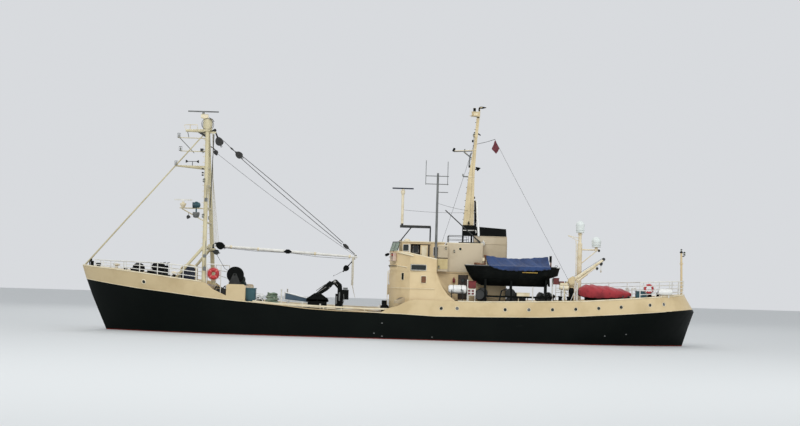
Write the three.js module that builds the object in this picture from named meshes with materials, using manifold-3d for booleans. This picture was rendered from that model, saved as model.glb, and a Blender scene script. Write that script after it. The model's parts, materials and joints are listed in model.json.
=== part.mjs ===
// A small general cargo vessel as a 1:2 scale model, in millimetres.
// +X is forward, +Y is port, +Z is up. The origin is amidships on the waterline.
import * as THREE from 'three';
import { mergeVertices } from 'three/addons/utils/BufferGeometryUtils.js';
import Module from 'manifold-3d';

const wasm = await Module();
wasm.setup();

// Driving dimensions
const GAP = 0.3;
const FAR = 14000;
const PLATE = 40;
const KEEL_Z = -1600;
const HALF_BEAM = 2150;
const BREAK_X = 7080;
const WELL_AFT_X = -900;
const HOLD = { aft: 300, fore: 5200, half: 1700, floor: -1250 };
const RUN_STEPS = 10;
const ENTRY_STEPS = 12;

// Waterlines of the hull: height, ends, half breadth, then length, fullness and end power of entry and run
const WATERLINES = [
  { z: -1600, stem: 9300, stern: -9900, half: 1000, entry: [5600, 1.9, 1.5], run: [7000, 2.0, 1.9] },
  { z: -1560, stem: 9500, stern: -9920, half: 1350, entry: [5800, 1.9, 1.45], run: [6900, 2.0, 1.9] },
  { z: -1450, stem: 9850, stern: -9940, half: 1680, entry: [6000, 1.9, 1.4], run: [6800, 2.0, 1.9] },
  { z: -1200, stem: 10350, stern: -9960, half: 1930, entry: [6200, 1.9, 1.3], run: [6700, 2.0, 1.8] },
  { z: -800, stem: 10850, stern: -9990, half: 2080, entry: [6400, 1.9, 1.15], run: [6500, 2.0, 1.6] },
  { z: -430, stem: 11130, stern: -10060, half: 2130, entry: [6500, 1.9, 1.08], run: [6200, 2.0, 1.35] },
  { z: -330, stem: 11190, stern: -11450, half: 2140, entry: [6500, 1.9, 1.05], run: [6200, 2.0, 1.3] },
  { z: 0, stem: 11320, stern: -11900, half: HALF_BEAM, entry: [6500, 1.9, 1.0], run: [5400, 2.0, 0.95] },
  { z: 700, stem: 11640, stern: -12120, half: HALF_BEAM, entry: [6300, 2.0, 0.92], run: [4200, 2.0, 0.72] },
  { z: 1390, stem: 11945, stern: -12355, half: HALF_BEAM, entry: [6000, 2.1, 0.84], run: [3300, 2.0, 0.56] },
  { z: 2070, stem: 12212, stern: -11935, half: 2120, entry: [5600, 2.2, 0.78], run: [3000, 2.0, 0.54] },
  { z: 2640, stem: 12400, stern: -11580, half: 2120, entry: [5400, 2.3, 0.74], run: [2800, 2.0, 0.54] },
];

// Lines along the ship's side, as x and z from aft to forward
const COLOUR_LINE = [
  [-FAR, 1500], [-12073, 1482], [-10555, 1350], [-9144, 1232], [-7500, 1110], [-5994, 1029], [-3641, 975],
  [-1860, 953], [-500, 1007], [922, 1020], [2080, 1041], [3182, 1090], [4288, 1199], [5492, 1292],
  [7301, 1439], [8580, 1578], [9957, 1716], [11069, 1859], [12212, 2020], [FAR, 2270],
];
const POOP_TOP = [
  [-FAR, 2240], [-11935, 2070], [-10530, 1939], [-9125, 1820], [-7775, 1710], [-5975, 1637], [-3625, 1560],
  [-1100, 1581], [-849, 1540], [-613, 1438], [-390, 1306], [-78, 1226], [300, 1022],
];
const FORECASTLE_TOP = [
  [5492, 1300], [5600, 1340], [5600, 1890], [5625, 1950], [5680, 1973], [6260, 1973], [6320, 1950],
  [6340, 1890], [6345, 1518], [6861, 1754], [7150, 1990], [7316, 2039], [8543, 2172], [9432, 2280],
  [10519, 2402], [12400, 2572], [FAR, 2600],
];
const FORECASTLE_DECK = [
  [BREAK_X, 1890], [8543, 2042], [9432, 2150], [10519, 2272], [12400, 2442], [FAR, 2500],
];
const WELL_DECK = [
  [WELL_AFT_X, 640], [922, 640], [2080, 650], [3182, 690], [4288, 780], [5492, 880], [BREAK_X, 1000],
];
const POOP_EDGE = 40;

// Materials
const paint = (color, roughness = 0.5, metalness = 0.1) =>
  new THREE.MeshStandardMaterial({ color, roughness, metalness });
const CREAM = paint(0xd6c496);
const BLACK = paint(0x14181a);
const TAN = paint(0xc4b498);
const DECK_RED = paint(0x6b3a30, 0.8);
const DARK = paint(0x2a2c2c, 0.6, 0.4);
const GREY = paint(0x6c6e6c, 0.5, 0.4);
const WHITE = paint(0xe4e2d8, 0.4);
const BRONZE = paint(0xa8813f, 0.35, 0.8);
const GREEN = paint(0x2e4a40, 0.6);
const NAVY = paint(0x1c2738, 0.8, 0);
const BLUE_CLOTH = paint(0x2d4b96, 0.9, 0);
const RED_CLOTH = paint(0xa5323c, 0.9, 0);
const WOOD = paint(0x6b4a30, 0.7, 0);

// Solids from three.js shapes
const toSolid = (geometry) => {
  const bare = geometry.clone();
  bare.deleteAttribute('normal');
  bare.deleteAttribute('uv');
  const merged = mergeVertices(bare, 1e-3);
  return new wasm.Manifold(new wasm.Mesh({
    numProp: 3,
    vertProperties: new Float32Array(merged.attributes.position.array),
    triVerts: new Uint32Array(merged.index.array),
  }));
};
const join = (...solids) => solids.flat().reduce((all, next) => all.add(next));
const cut = (body, ...tools) => tools.flat().reduce((all, next) => all.subtract(next), body);

const block = (x0, x1, y0, y1, z0, z1) => toSolid(
  new THREE.BoxGeometry(Math.abs(x1 - x0), Math.abs(y1 - y0), Math.abs(z1 - z0))
    .translate((x0 + x1) / 2, (y0 + y1) / 2, (z0 + z1) / 2));
const outline = (points) => new THREE.Shape(points.map(([a, b]) => new THREE.Vector2(a, b)));
const slab = (points, depth) =>
  new THREE.ExtrudeGeometry(outline(points), { depth, bevelEnabled: false });
const planPrism = (points, z0, z1) => toSolid(slab(points, z1 - z0).translate(0, 0, z0));
const sidePrism = (points, y0, y1) =>
  toSolid(slab(points, y1 - y0).rotateX(Math.PI / 2).translate(0, y1, 0));
const between = (from, to) => {
  const a = new THREE.Vector3(...from);
  const b = new THREE.Vector3(...to);
  const turn = new THREE.Quaternion().setFromUnitVectors(
    new THREE.Vector3(0, 1, 0), b.clone().sub(a).normalize());
  return new THREE.Matrix4().compose(a.add(b).multiplyScalar(0.5), turn, new THREE.Vector3(1, 1, 1));
};
const span = (from, to) => new THREE.Vector3(...from).distanceTo(new THREE.Vector3(...to));
const rod = (from, to, r0, r1 = r0, sides = 10) => toSolid(
  new THREE.CylinderGeometry(r1, r0, span(from, to), sides).applyMatrix4(between(from, to)));
const post = (x, y, z0, z1, r0, r1 = r0, sides = 12) => rod([x, y, z0], [x, y, z1], r0, r1, sides);
const ball = (x, y, z, r, sides = 14) => toSolid(
  new THREE.SphereGeometry(r, sides, sides / 2).translate(x, y, z));
const turned = (profile, sides = 16) => toSolid(
  new THREE.LatheGeometry(profile.map(([r, h]) => new THREE.Vector2(r, h)), sides).rotateX(Math.PI / 2));
const mirrored = (points) => [...points, ...points.map(([x, y]) => [x, -y]).reverse()];
const bothSides = (make) => [1, -1].map(make);

// Closed body through rings of points with equal counts, counterclockwise from above, lowest first
const loft = (rings) => {
  const count = rings[0].length;
  const last = rings.length - 1;
  const index = [];
  for (let level = 0; level < last; level++) {
    for (let i = 0; i < count; i++) {
      const a = level * count + i;
      const b = level * count + (i + 1) % count;
      index.push(a, b, b + count, a, b + count, a + count);
    }
  }
  for (const [level, flip] of [[0, true], [last, false]]) {
    const flat = rings[level].map(([x, y]) => new THREE.Vector2(x, y));
    for (const [a, b, c] of THREE.ShapeUtils.triangulateShape(flat, [])) {
      const corners = flip ? [a, c, b] : [a, b, c];
      index.push(...corners.map((corner) => corner + level * count));
    }
  }
  const geometry = new THREE.BufferGeometry();
  geometry.setAttribute('position', new THREE.Float32BufferAttribute(rings.flat(2), 3));
  geometry.setIndex(index);
  return toSolid(geometry);
};
const easeSteps = (steps) => Array.from(
  { length: steps }, (_, i) => 1 - Math.cos(((i + 1) / steps) * Math.PI / 2));
const waterline = ({ z, stem, stern, half, entry, run }, inset) => {
  const width = (t, [, fullness, power]) => (half - inset) * (1 - (1 - t) ** fullness) ** power;
  const fore = stem - 2 * inset;
  const aft = stern + 2 * inset;
  const runPart = easeSteps(RUN_STEPS).map((t) => [aft + t * run[0], width(t, run)]);
  const entryPart = easeSteps(ENTRY_STEPS).map((t) => [fore - t * entry[0], width(t, entry)]).reverse();
  const port = [...runPart, ...entryPart];
  const starboard = port.map(([x, y]) => [x, -y]);
  return [[aft, 0], ...starboard, [fore, 0], ...port.reverse()].map(([x, y]) => [x, y, z]);
};
const hullForm = (inset = 0) => loft(WATERLINES.map((line) => waterline(line, inset)));

// Regions above and below a line along the ship
const raise = (line, dz) => line.map(([x, z]) => [x, z + dz]);
const underLine = (line) => sidePrism([...line, [line.at(-1)[0], -FAR], [line[0][0], -FAR]], -FAR, FAR);
const overLine = (line) => sidePrism([...line, [line.at(-1)[0], FAR], [line[0][0], FAR]], -FAR, FAR);

const ship = new THREE.Group();
const toMesh = (name, solid, material) => {
  const { vertProperties, triVerts, numProp } = solid.getMesh();
  const geometry = new THREE.BufferGeometry();
  const position = new Float32Array((vertProperties.length / numProp) * 3);
  for (let i = 0; i < position.length / 3; i++) {
    position.set(vertProperties.subarray(i * numProp, i * numProp + 3), i * 3);
  }
  geometry.setAttribute('position', new THREE.BufferAttribute(position, 3));
  geometry.setIndex(new THREE.BufferAttribute(new Uint32Array(triVerts), 1));
  geometry.computeVertexNormals();
  const mesh = new THREE.Mesh(geometry, material);
  mesh.name = name;
  return mesh;
};
const add = (name, solid, material, parent = ship) => parent.add(toMesh(name, solid, material));
const assembly = (x, y, z, parent = ship) => {
  const group = new THREE.Group();
  group.position.set(x, y, z);
  parent.add(group);
  return group;
};

// Hull, cut into the sections that it is welded from
const form = hullForm();
const innerForm = hullForm(PLATE);
const wellSpace = innerForm.intersect(overLine(WELL_DECK));
const blackHull = form.intersect(underLine(COLOUR_LINE)).subtract(wellSpace);
const PROPELLER = { x: -10260, z: -950, radius: 470, hub: 105, bossEnd: -10120 };
const RUDDER = { x: -10960, top: -430, trunk: -425, foot: -1470, sole: -1525 };

const sternGear = join(
  rod([-9700, 0, PROPELLER.z], [PROPELLER.bossEnd, 0, PROPELLER.z], 150, 115, 16),
  post(RUDDER.x, 0, RUDDER.trunk, 200, 95),
  block(-11080, -9800, -45, 45, KEEL_Z, RUDDER.sole),
);
const holdSpace = block(HOLD.aft, HOLD.fore, -HOLD.half, HOLD.half, HOLD.floor, FAR)
  .intersect(underLine(raise(WELL_DECK, GAP)));
const deckRebate = innerForm.intersect(overLine(raise(WELL_DECK, -PLATE - GAP)))
  .intersect(block(HOLD.aft, HOLD.fore, -FAR, FAR, 0, FAR));
const ahead = block(HOLD.fore, FAR, -FAR, FAR, -FAR, FAR);
const astern = block(-FAR, HOLD.aft, -FAR, FAR, -FAR, FAR);
add('hull_bow', blackHull.intersect(ahead), BLACK);
add('hull_stern', join(blackHull.intersect(astern), sternGear), BLACK);
add('hull_midship', cut(blackHull, ahead, astern, holdSpace, deckRebate)
  .intersect(block(HOLD.aft + GAP, HOLD.fore - GAP, -FAR, FAR, -FAR, FAR)), BLACK);

const band = form.intersect(overLine(raise(COLOUR_LINE, GAP)));
const forecastleSpace = innerForm.intersect(overLine(FORECASTLE_DECK));
add('forecastle', cut(band.intersect(underLine(FORECASTLE_TOP)), wellSpace, forecastleSpace), CREAM);
const poopDeck = raise([...POOP_TOP.filter(([x]) => x < WELL_AFT_X), [WELL_AFT_X, 1581]], -POOP_EDGE);
const poopSpace = innerForm.intersect(overLine(poopDeck));
const sternMast = join(
  rod([-11848, 0, 1900], [-11800, 0, 3800], 48, 42, 12),
  block(-11880, -11750, -60, 60, 3300, 3340),
);
add('poop', join(cut(band.intersect(underLine(POOP_TOP)), wellSpace, poopSpace), sternMast), CREAM);
const abovePoop = overLine([...raise(poopDeck, GAP), [WELL_AFT_X + GAP, 1541 + GAP]]);

// Well deck with its two hatches
const HATCHES = [
  { name: 'fore', aft: 2750, fore: 5050, half: 1150, top: 1110 },
  { name: 'aft', aft: 420, fore: 1350, half: 1150, top: 960 },
];
const deckPlate = deckRebate.intersect(underLine(WELL_DECK))
  .intersect(block(HOLD.aft + GAP, HOLD.fore - GAP, -FAR, FAR, 0, FAR))
  .intersect(overLine(raise(WELL_DECK, -PLATE)));
const deckHalf = HALF_BEAM - PLATE - 5;
const deckSides = block(HOLD.aft + GAP, HOLD.fore - GAP, -deckHalf, deckHalf, 0, FAR);
const coamings = HATCHES.map(({ aft, fore, half, top }) =>
  block(aft, fore, -half, half, 620, top).intersect(overLine(raise(WELL_DECK, -PLATE))));
const hatchways = HATCHES.map(({ aft, fore, half, top }) =>
  block(aft + PLATE, fore - PLATE, -half + PLATE, half - PLATE, 0, top + 10));
add('well_deck', cut(join(deckPlate.intersect(deckSides), coamings), hatchways), DECK_RED);
for (const { name, aft, fore, half, top } of HATCHES) {
  const lid = join(
    block(aft - 25, fore + 25, -half - 25, half + 25, top + GAP, top + 45),
    block(aft + PLATE + 5, fore - PLATE - 5, -half + PLATE + 5, half - PLATE - 5, top - 60, top + 20),
  );
  add(`hatch_cover_${name}`, lid, GREY);
}

// Winch house, warping gear and stores forward
const HOUSE_TOP = 1930;
const winchHouse = hullForm(PLATE + 5).intersect(overLine(raise(WELL_DECK, GAP)))
  .intersect(block(5600, 6340, -FAR, FAR, 0, HOUSE_TOP));
add('winch_house', winchHouse, CREAM);

const REEL = { x: 6110, y: 900, z: 2340, radius: 330, half: 190 };
const reelStand = join(
  bothSides((side) => sidePrism(
    [[-260, 0], [260, 0], [60, REEL.z - HOUSE_TOP + 60], [-60, REEL.z - HOUSE_TOP + 60]],
    side * (REEL.half + 30) - 15, side * (REEL.half + 30) + 15)),
  block(-260, 260, -REEL.half - 45, REEL.half + 45, 0, 30),
);
const reelHole = rod([0, -400, REEL.z - HOUSE_TOP], [0, 400, REEL.z - HOUSE_TOP], 28.6, 28.6, 24);
const reelGroup = assembly(REEL.x, REEL.y, HOUSE_TOP + GAP);
add('hawser_reel_stand', cut(reelStand, reelHole), DARK, reelGroup);
const reelDrum = turned([
  [0, -REEL.half - 48], [28, -REEL.half - 48], [28, -REEL.half], [REEL.radius, -REEL.half],
  [REEL.radius, -REEL.half + 20], [230, -REEL.half + 30], [230, REEL.half - 30],
  [REEL.radius, REEL.half - 20], [REEL.radius, REEL.half], [28, REEL.half], [28, REEL.half + 48],
  [0, REEL.half + 48]], 24);
add('hawser_reel', reelDrum.rotate([90, 0, 0]), BLACK, assembly(REEL.x, REEL.y, REEL.z + GAP));

const winchFrame = (half, height, reach) => join(
  block(-reach, reach, -half, half, 0, 40),
  bothSides((side) => sidePrism(
    [[-reach + 40, 30], [reach - 40, 30], [90, height + 90], [-90, height + 90]],
    side * (half - 30) - 25, side * (half - 30) + 25)),
);
const winchDrum = (half, radius) => turned([
  [0, -half - 190], [radius * 0.75, -half - 190], [radius * 0.55, -half - 120],
  [radius * 0.6, -half - 20], [38, -half - 10], [38, -half + 65], [radius, -half + 65],
  [radius, -half + 90], [radius * 0.6, -half + 100], [radius * 0.6, half - 100], [radius, half - 90],
  [radius, half - 65], [38, half - 65], [38, half + 10], [radius * 0.6, half + 20],
  [radius * 0.55, half + 120], [radius * 0.75, half + 190], [0, half + 190]], 14)
  .rotate([90, 0, 0]);
const windlassSeat = block(8900, 9620, -480, 480, 2000, 2170)
  .subtract(underLine(raise(FORECASTLE_DECK, GAP)));
const WINCHES = [
  { name: 'windlass', x: 9256, base: 2165, half: 430, height: 260, radius: 190, reach: 300,
    seat: windlassSeat },
  { name: 'cargo_winch', x: 5960, base: HOUSE_TOP + GAP, half: 300, height: 230, radius: 170, reach: 260 },
];
for (const { name, x, base, half, height, radius, reach, seat } of WINCHES) {
  const bearing = rod([0, -half - 10, height], [0, half + 10, height], 38.7, 38.7, 24);
  const frame = cut(winchFrame(half, height, reach), bearing);
  const seated = seat ? join(frame, seat.translate([-x, 0, -base])) : frame;
  add(`${name}_frame`, seated, GREEN, assembly(x, 0, base));
  add(`${name}_drum`, winchDrum(half, radius), DARK, assembly(x, 0, base + height));
}
const LOCKER = { x: 7976, z: 1960 };
const hood = [[-290, 0], [290, 0], [290, 560], [200, 660], [0, 720], [-200, 660], [-290, 560]];
add('bow_locker', sidePrism(hood.map(([x, z]) => [x + LOCKER.x, z + LOCKER.z]), 450, 1050)
  .subtract(underLine(raise(FORECASTLE_DECK, GAP))), NAVY);

// Foremast: two legs that lean together, a strut in front of each, and what they carry
const MAST = { foot: [7260, 1850, 1880], head: [7500, 110, 8180], cross: 3400 };
const onLeg = (z, side = 1) => {
  const t = (z - MAST.foot[2]) / (MAST.head[2] - MAST.foot[2]);
  return MAST.foot.map((from, axis) => (from + t * (MAST.head[axis] - from)) * (axis === 1 ? side : 1));
};
const crossbeam = (z, r) => rod(onLeg(z, 1), onLeg(z, -1), r);
// Arms that reach forward from the mast: platform, lamps, yard, light beam and radar bracket
const FORE_ARMS = [
  { z: 8130, reach: 8394, r: 82, tip: 48, rise: -6 },
  { z: 7830, reach: 8701, r: 20, tip: 16, rise: 0 },
  { z: 7290, reach: 8583, r: 20, tip: 16, rise: 0 },
  { z: 6625, reach: 8750, r: 88, tip: 30, rise: 62 },
  { z: 4985, reach: 8533, r: 26, tip: 21, rise: 0 },
];
const GOOSENECK = { x: 7120, z: 3480 };
const UPPER_SCANNER = { x: 7700, z: 8830 };
const LOWER_SCANNER = { x: 8400, z: 5230 };
const foremastParts = [
  ...bothSides((side) => [
    rod(onLeg(MAST.foot[2], side), onLeg(MAST.head[2], side), 88, 80),
    rod(onLeg(3460, side), [8500, side * 1660, 2020], 62, 52),
    block(7130, 7390, side * 1850 - 130, side * 1850 + 130, 1900, 1925),
    block(8390, 8610, side * 1660 - 110, side * 1660 + 110, 2000, 2080),
  ]).flat(),
  crossbeam(MAST.cross, 75), crossbeam(4400, 40), crossbeam(4985, 45), crossbeam(5900, 55),
  crossbeam(6625, 45), crossbeam(7290, 40),
  block(7390, 7640, -230, 230, 8110, 8180),
  post(7510, 0, 8150, 8630, 185, 185, 16),
  post(7600, 0, 8600, 8670, 70),
  block(7500, 7790, -70, 70, 8650, 8800),
  post(UPPER_SCANNER.x, 0, 8780, UPPER_SCANNER.z, 45),
  block(GOOSENECK.x - 90, 7330, -70, 70, GOOSENECK.z - 150, GOOSENECK.z - 90),
  block(7230, 7330, -70, 70, GOOSENECK.z - 150, GOOSENECK.z + 60),
  post(LOWER_SCANNER.x, 0, 4985, LOWER_SCANNER.z, 45),
  rod([8450, 0, 4960], [7380, 0, 4400], 22),
  block(7160, 7420, -60, 60, 8040, 8110),
];
const foreArms = FORE_ARMS.map(({ z, reach, r, tip, rise }) =>
  rod([7440, 0, z], [reach, 0, z + rise], r, tip));
const forestay = rod([7500, 0, 8170], [12330, 0, 2500], 24, 34, 8)
  .subtract(underLine(raise(FORECASTLE_TOP, GAP)));
add('foremast', cut(join(foremastParts, foreArms, forestay), underLine(raise(FORECASTLE_DECK, GAP))), CREAM);

const scanner = (length, r) => join(
  block(-length / 2, length / 2, -r, r, 60, 60 + r * 1.6),
  post(0, 0, GAP, 80, 55, 40),
);
const FORE_SCANNERS = [
  { name: 'fore_scanner_upper', ...UPPER_SCANNER, length: 1240 },
  { name: 'fore_scanner_lower', ...LOWER_SCANNER, length: 720 },
];
for (const { name, x, z, length } of FORE_SCANNERS) add(name, scanner(length, 32), CREAM, assembly(x, 0, z));

// Derrick on its gooseneck, with the blocks of its topping lift and hook
const BOOM_PIN = { x: -80, z: 15 };
const derrickHeel = join(
  post(0, 0, -90 + GAP, 60, 38),
  block(-110, 30, -36, 36, -20, 50),
  post(0, 0, -80, -60, 60),
  rod([BOOM_PIN.x, -40.7, BOOM_PIN.z], [BOOM_PIN.x, 40.7, BOOM_PIN.z], 28),
);
const derrick = assembly(GOOSENECK.x, 0, GOOSENECK.z);
add('derrick_heel', derrickHeel, DARK, derrick);
const BOOM_TIP = { x: 1290 - GOOSENECK.x - BOOM_PIN.x, z: 3205 - GOOSENECK.z - BOOM_PIN.z };
const alongBoom = (t) => [BOOM_TIP.x * t, 0, BOOM_TIP.z * t];
const boomSolid = join(
  rod(alongBoom(0.018), alongBoom(0.5), 52, 62),
  rod(alongBoom(0.5), alongBoom(1), 62, 40),
  bothSides((side) => sidePrism(
    [[45, -45], [45, 45], [-170, 55], [-170, -65]], side * 53 - 12, side * 53 + 12)),
  post(BOOM_TIP.x + 90, 0, BOOM_TIP.z - 110, BOOM_TIP.z + 110, 26),
);
add('derrick_boom', boomSolid, WHITE, assembly(BOOM_PIN.x, 0, BOOM_PIN.z, derrick));

// Knuckle boom crane, folded, on the deck strip between the hatches
const CRANE = { x: 1900, y: 1000, deck: 648 };
const SLEW_Z = 420;
const crane = assembly(CRANE.x, CRANE.y, CRANE.deck);
const craneDeck = underLine(raise(WELL_DECK, GAP)).translate([-CRANE.x, 0, -CRANE.deck]);
const craneBase = join(block(-230, 230, -230, 230, -10, 46), post(0, 0, 30, SLEW_Z, 130, 110));
add('crane_base', craneBase.subtract(craneDeck), BLACK, crane);
const craneColumn = join(
  post(0, 0, GAP, 120, 120),
  block(-120, 190, -110, 110, 60, 640),
  block(-70, 110, -90, 90, 600, 880),
  block(-330, -60, -120, 120, 420, 810),
  bothSides((side) => block(-60, 110, side * 75 - 18, side * 75 + 18, 780, 960)),
);
const slewing = assembly(0, 0, SLEW_Z, crane);
add('crane_column', cut(craneColumn, block(-80, 120, -56, 56, 800, 1000)), BLACK, slewing);
const BOOM_HINGE = { x: 20, z: 900 };
const knuckle = { x: 210, z: 210 };
const hub = (x, z, half, r) => rod([x, -half, z], [x, half, z], r, r, 14);
const craneBoom = assembly(BOOM_HINGE.x, 0, BOOM_HINGE.z, slewing);
add('crane_boom', join(
  sidePrism([
    [-70, -60], [60, -80], [knuckle.x + 60, knuckle.z - 75], [knuckle.x + 80, knuckle.z],
    [knuckle.x + 30, knuckle.z + 85], [knuckle.x - 70, knuckle.z + 90], [-70, 110],
  ], -50, 50),
  hub(0, 0, 55.7, 40), hub(knuckle.x, knuckle.z, 55.7, 36),
), BLACK, craneBoom);
const jibTip = { x: 760, z: -560 };
const craneJib = join(
  ...bothSides((side) => sidePrism([[-70, 20], [0, 75], [230, -40], [150, -160], [-40, -80]],
    side * 68 - 12, side * 68 + 12)),
  sidePrism([[110, -20], [200, 40], [jibTip.x + 10, jibTip.z + 70], [jibTip.x - 80, jibTip.z - 60],
    [90, -145]], -80, 80),
);
add('crane_jib', craneJib, BLACK, assembly(knuckle.x, 0, knuckle.z, craneBoom));

// Bridge house: the faceted block at the ship's sides, its deck and bulwark
const houseHalf = (inset) => [
  [-40 - inset, 950 - inset * 0.4], [-316 - inset * 0.8, 1480 - inset * 0.7],
  [-849 - inset * 0.2, 1985 - inset], [-1890 + inset, 2095 - inset],
];
const housePlan = (inset) => mirrored(houseHalf(inset)).reverse();
const BRIDGE_DECK_Z = 2718;
const notUnderPoop = underLine([[-FAR, 1541 + GAP], [WELL_AFT_X + GAP, 1541 + GAP]]);
const wingSweep = [[-1850, 1500], [-1850, 2660], [-1892, 2640], [-1985, 2380], [-2156, 2069], [-2357, 1800],
  [-2621, 1600], [-2700, 1500]];
const houseCavity = join(
  planPrism(housePlan(PLATE), 1600, BRIDGE_DECK_Z - 2 * PLATE),
  planPrism(housePlan(PLATE), 700, 1700).intersect(block(-860, 0, -FAR, FAR, 0, FAR)),
);
const sideWindows = bothSides((side) => [
  block(-1492, -1280, side * 1900, side * 2200, 2227, 2517),
  block(-625, -505, side * 1400, side * 2000, 2330, 2620),
]).flat();
const frontWindows = [-520, 0, 520].map((y) => block(-200, 0, y - 110, y + 110, 2240, 2560));
const STAIR = { top: [-1870, 2690], foot: [-2690, 1540], treads: 8, inner: 1180, outer: 1520 };
const stairs = bothSides((side) => {
  const [topX, topZ] = STAIR.top;
  const [footX, footZ] = STAIR.foot;
  const stringer = [
    [topX, topZ - 30], [topX, topZ - 220], [footX + 60, footZ - 20], [footX - 60, footZ - 20]];
  const treads = Array.from({ length: STAIR.treads }, (_, i) => (i + 0.6) / STAIR.treads).map((t) => {
    const x = footX + t * (topX - footX);
    const z = footZ + t * (topZ - footZ);
    return block(x - 60, x + 60, side * STAIR.inner, side * STAIR.outer, z - 60, z - 40);
  });
  const stringers = [STAIR.inner + 10, STAIR.outer - 10];
  return join(stringers.map((y) => sidePrism(stringer, side * y - 12, side * y + 12)), treads);
});
const bridgeHouse = join(
  cut(planPrism(housePlan(0), 640 + GAP, BRIDGE_DECK_Z - PLATE), houseCavity),
  bothSides((side) => sidePrism(wingSweep, side * 2075 - 20, side * 2075 + 20)),
  stairs,
);
add('bridge_house', cut(bridgeHouse, notUnderPoop, sideWindows, frontWindows), CREAM);

const BULWARK_TOP = [[0, 3490], [-336, 3467], [-1500, 3290], [-1890, 3178], [-1930, 3178]].reverse();
const bulwarkPlan = mirrored([...houseHalf(0).slice(0, 3), [-1890, 2095]]).reverse();
const bulwarkInner = mirrored([...houseHalf(PLATE).slice(0, 3), [-1930, 2095 - PLATE]]).reverse();
const bulwark = planPrism(bulwarkPlan, BRIDGE_DECK_Z - 10, 3600)
  .subtract(planPrism(bulwarkInner, BRIDGE_DECK_Z - 20, 3700)).intersect(underLine(BULWARK_TOP));
const wingOpenings = bothSides((side) => block(-1478, -880, side * 1900, side * 2200, 2735, 2950));
const LEDGE = { z0: 2895, z1: 2925 };
const ledgePlan = mirrored([[-5, 965], [-290, 1520], [-316, 1480], [-60, 940]]).reverse();
const frontLedge = planPrism(ledgePlan, LEDGE.z0, LEDGE.z1);
const bridgeDeckPlate = planPrism(bulwarkPlan, BRIDGE_DECK_Z - PLATE + GAP, BRIDGE_DECK_Z);
add('bridge_deck', cut(join(bridgeDeckPlate, bulwark, frontLedge), wingOpenings), CREAM);

// Wheelhouse with its roof and side doors
const WH = { fore: -400, aft: -2200, half: 1000, top: 3840 };
const wheelhousePlan = (inset) => mirrored([
  [WH.fore - inset, 720 - inset * 0.5], [WH.fore - 110 - inset * 0.5, WH.half - inset],
  [WH.aft + inset, WH.half - inset],
]).reverse();
const wheelhouseWindows = [
  ...[-500, -250, 0, 250, 500].map((y) => block(-700, 0, y - 100, y + 100, 3330, 3690)),
  ...bothSides((side) => [
    block(-775, -545, side * 800, side * 1200, 3490, 3760),
    block(-1240, -850, side * 800, side * 1200, BRIDGE_DECK_Z + 40, 3770),
    block(-2020, -1760, side * 800, side * 1200, 3330, 3690),
  ]).flat(),
];
const wheelhouseShell = planPrism(wheelhousePlan(0), BRIDGE_DECK_Z + GAP, WH.top)
  .subtract(planPrism(wheelhousePlan(PLATE), BRIDGE_DECK_Z - 10, WH.top + 10));
const SIDE_DOOR = {
  aft: -1640, fore: -1238, foot: BRIDGE_DECK_Z + 20, top: 3785, near: 8, far: 38, travel: 395,
};
const RUNNER_ROWS = [[SIDE_DOOR.top + GAP, 26], [SIDE_DOOR.foot - 18 - GAP, 18]];
const runners = bothSides((side) => RUNNER_ROWS.map(([z, height]) =>
  block(SIDE_DOOR.aft - 20, SIDE_DOOR.fore + SIDE_DOOR.travel + 20, side * (WH.half - 10),
    side * (WH.half + SIDE_DOOR.far + 5), z, z + height))).flat();
add('wheelhouse', join(cut(wheelhouseShell, wheelhouseWindows), runners), CREAM);
add('wheelhouse_roof', planPrism(wheelhousePlan(-30), WH.top + GAP, WH.top + 55), CREAM);
for (const [name, side] of [['port', 1], ['starboard', -1]]) {
  const leaf = block(SIDE_DOOR.aft, SIDE_DOOR.fore, side * (WH.half + SIDE_DOOR.near),
    side * (WH.half + SIDE_DOOR.far), SIDE_DOOR.foot, SIDE_DOOR.top);
  add(`wheelhouse_door_${name}`, leaf, CREAM);
}

// Chart house, lower deckhouse, funnel and aft mast
const CHART = { fore: -2282, aft: -3729, top: 3860 };
const chartRoom = block(CHART.fore - PLATE, CHART.aft + PLATE, -WH.half + PLATE, WH.half - PLATE,
  BRIDGE_DECK_Z + PLATE, CHART.top - PLATE);
const chartShell = join(
  cut(block(CHART.fore, CHART.aft, -WH.half, WH.half, BRIDGE_DECK_Z + GAP, CHART.top), chartRoom),
  bothSides((side) => block(-1930, -2330, side * (WH.half + 50), side * 1200, BRIDGE_DECK_Z + GAP, 3750)),
  bothSides((side) => block(-2285, -2330, side * (WH.half - 20), side * 1200, BRIDGE_DECK_Z + GAP, 3750)),
);
const chartOpenings = [
  ...bothSides((side) => rod([-2829, side * 900, 3633], [-2829, side * 1100, 3633], 62, 62, 16)),
  block(-3800, -3600, -850, -600, 2790, 3600),
];
add('chart_house', cut(chartShell, chartOpenings), TAN);

const LOWER = { fore: -1895, aft: -4700, half: 930 };
const lowerShell = cut(
  join(block(LOWER.fore, LOWER.aft, -LOWER.half, LOWER.half, 1500, BRIDGE_DECK_Z),
    block(LOWER.fore, LOWER.aft - 60, -LOWER.half - 50, LOWER.half + 50,
      BRIDGE_DECK_Z - PLATE, BRIDGE_DECK_Z)),
  block(LOWER.fore - PLATE, LOWER.aft + PLATE, -LOWER.half + PLATE, LOWER.half - PLATE,
    1620, BRIDGE_DECK_Z - PLATE),
);
const DOOR = { fore: -2790, aft: -3150, foot: 1650, top: 2600, lap: 10, proud: 22 };
const lowerDoors = bothSides((side) =>
  block(DOOR.fore, DOOR.aft, side * 800, side * 1000, DOOR.foot, DOOR.top));
const hingeX = DOOR.aft - 15;
const KNUCKLE_ROWS = [DOOR.foot - DOOR.lap - 30 - GAP, DOOR.top + DOOR.lap + GAP];
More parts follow.
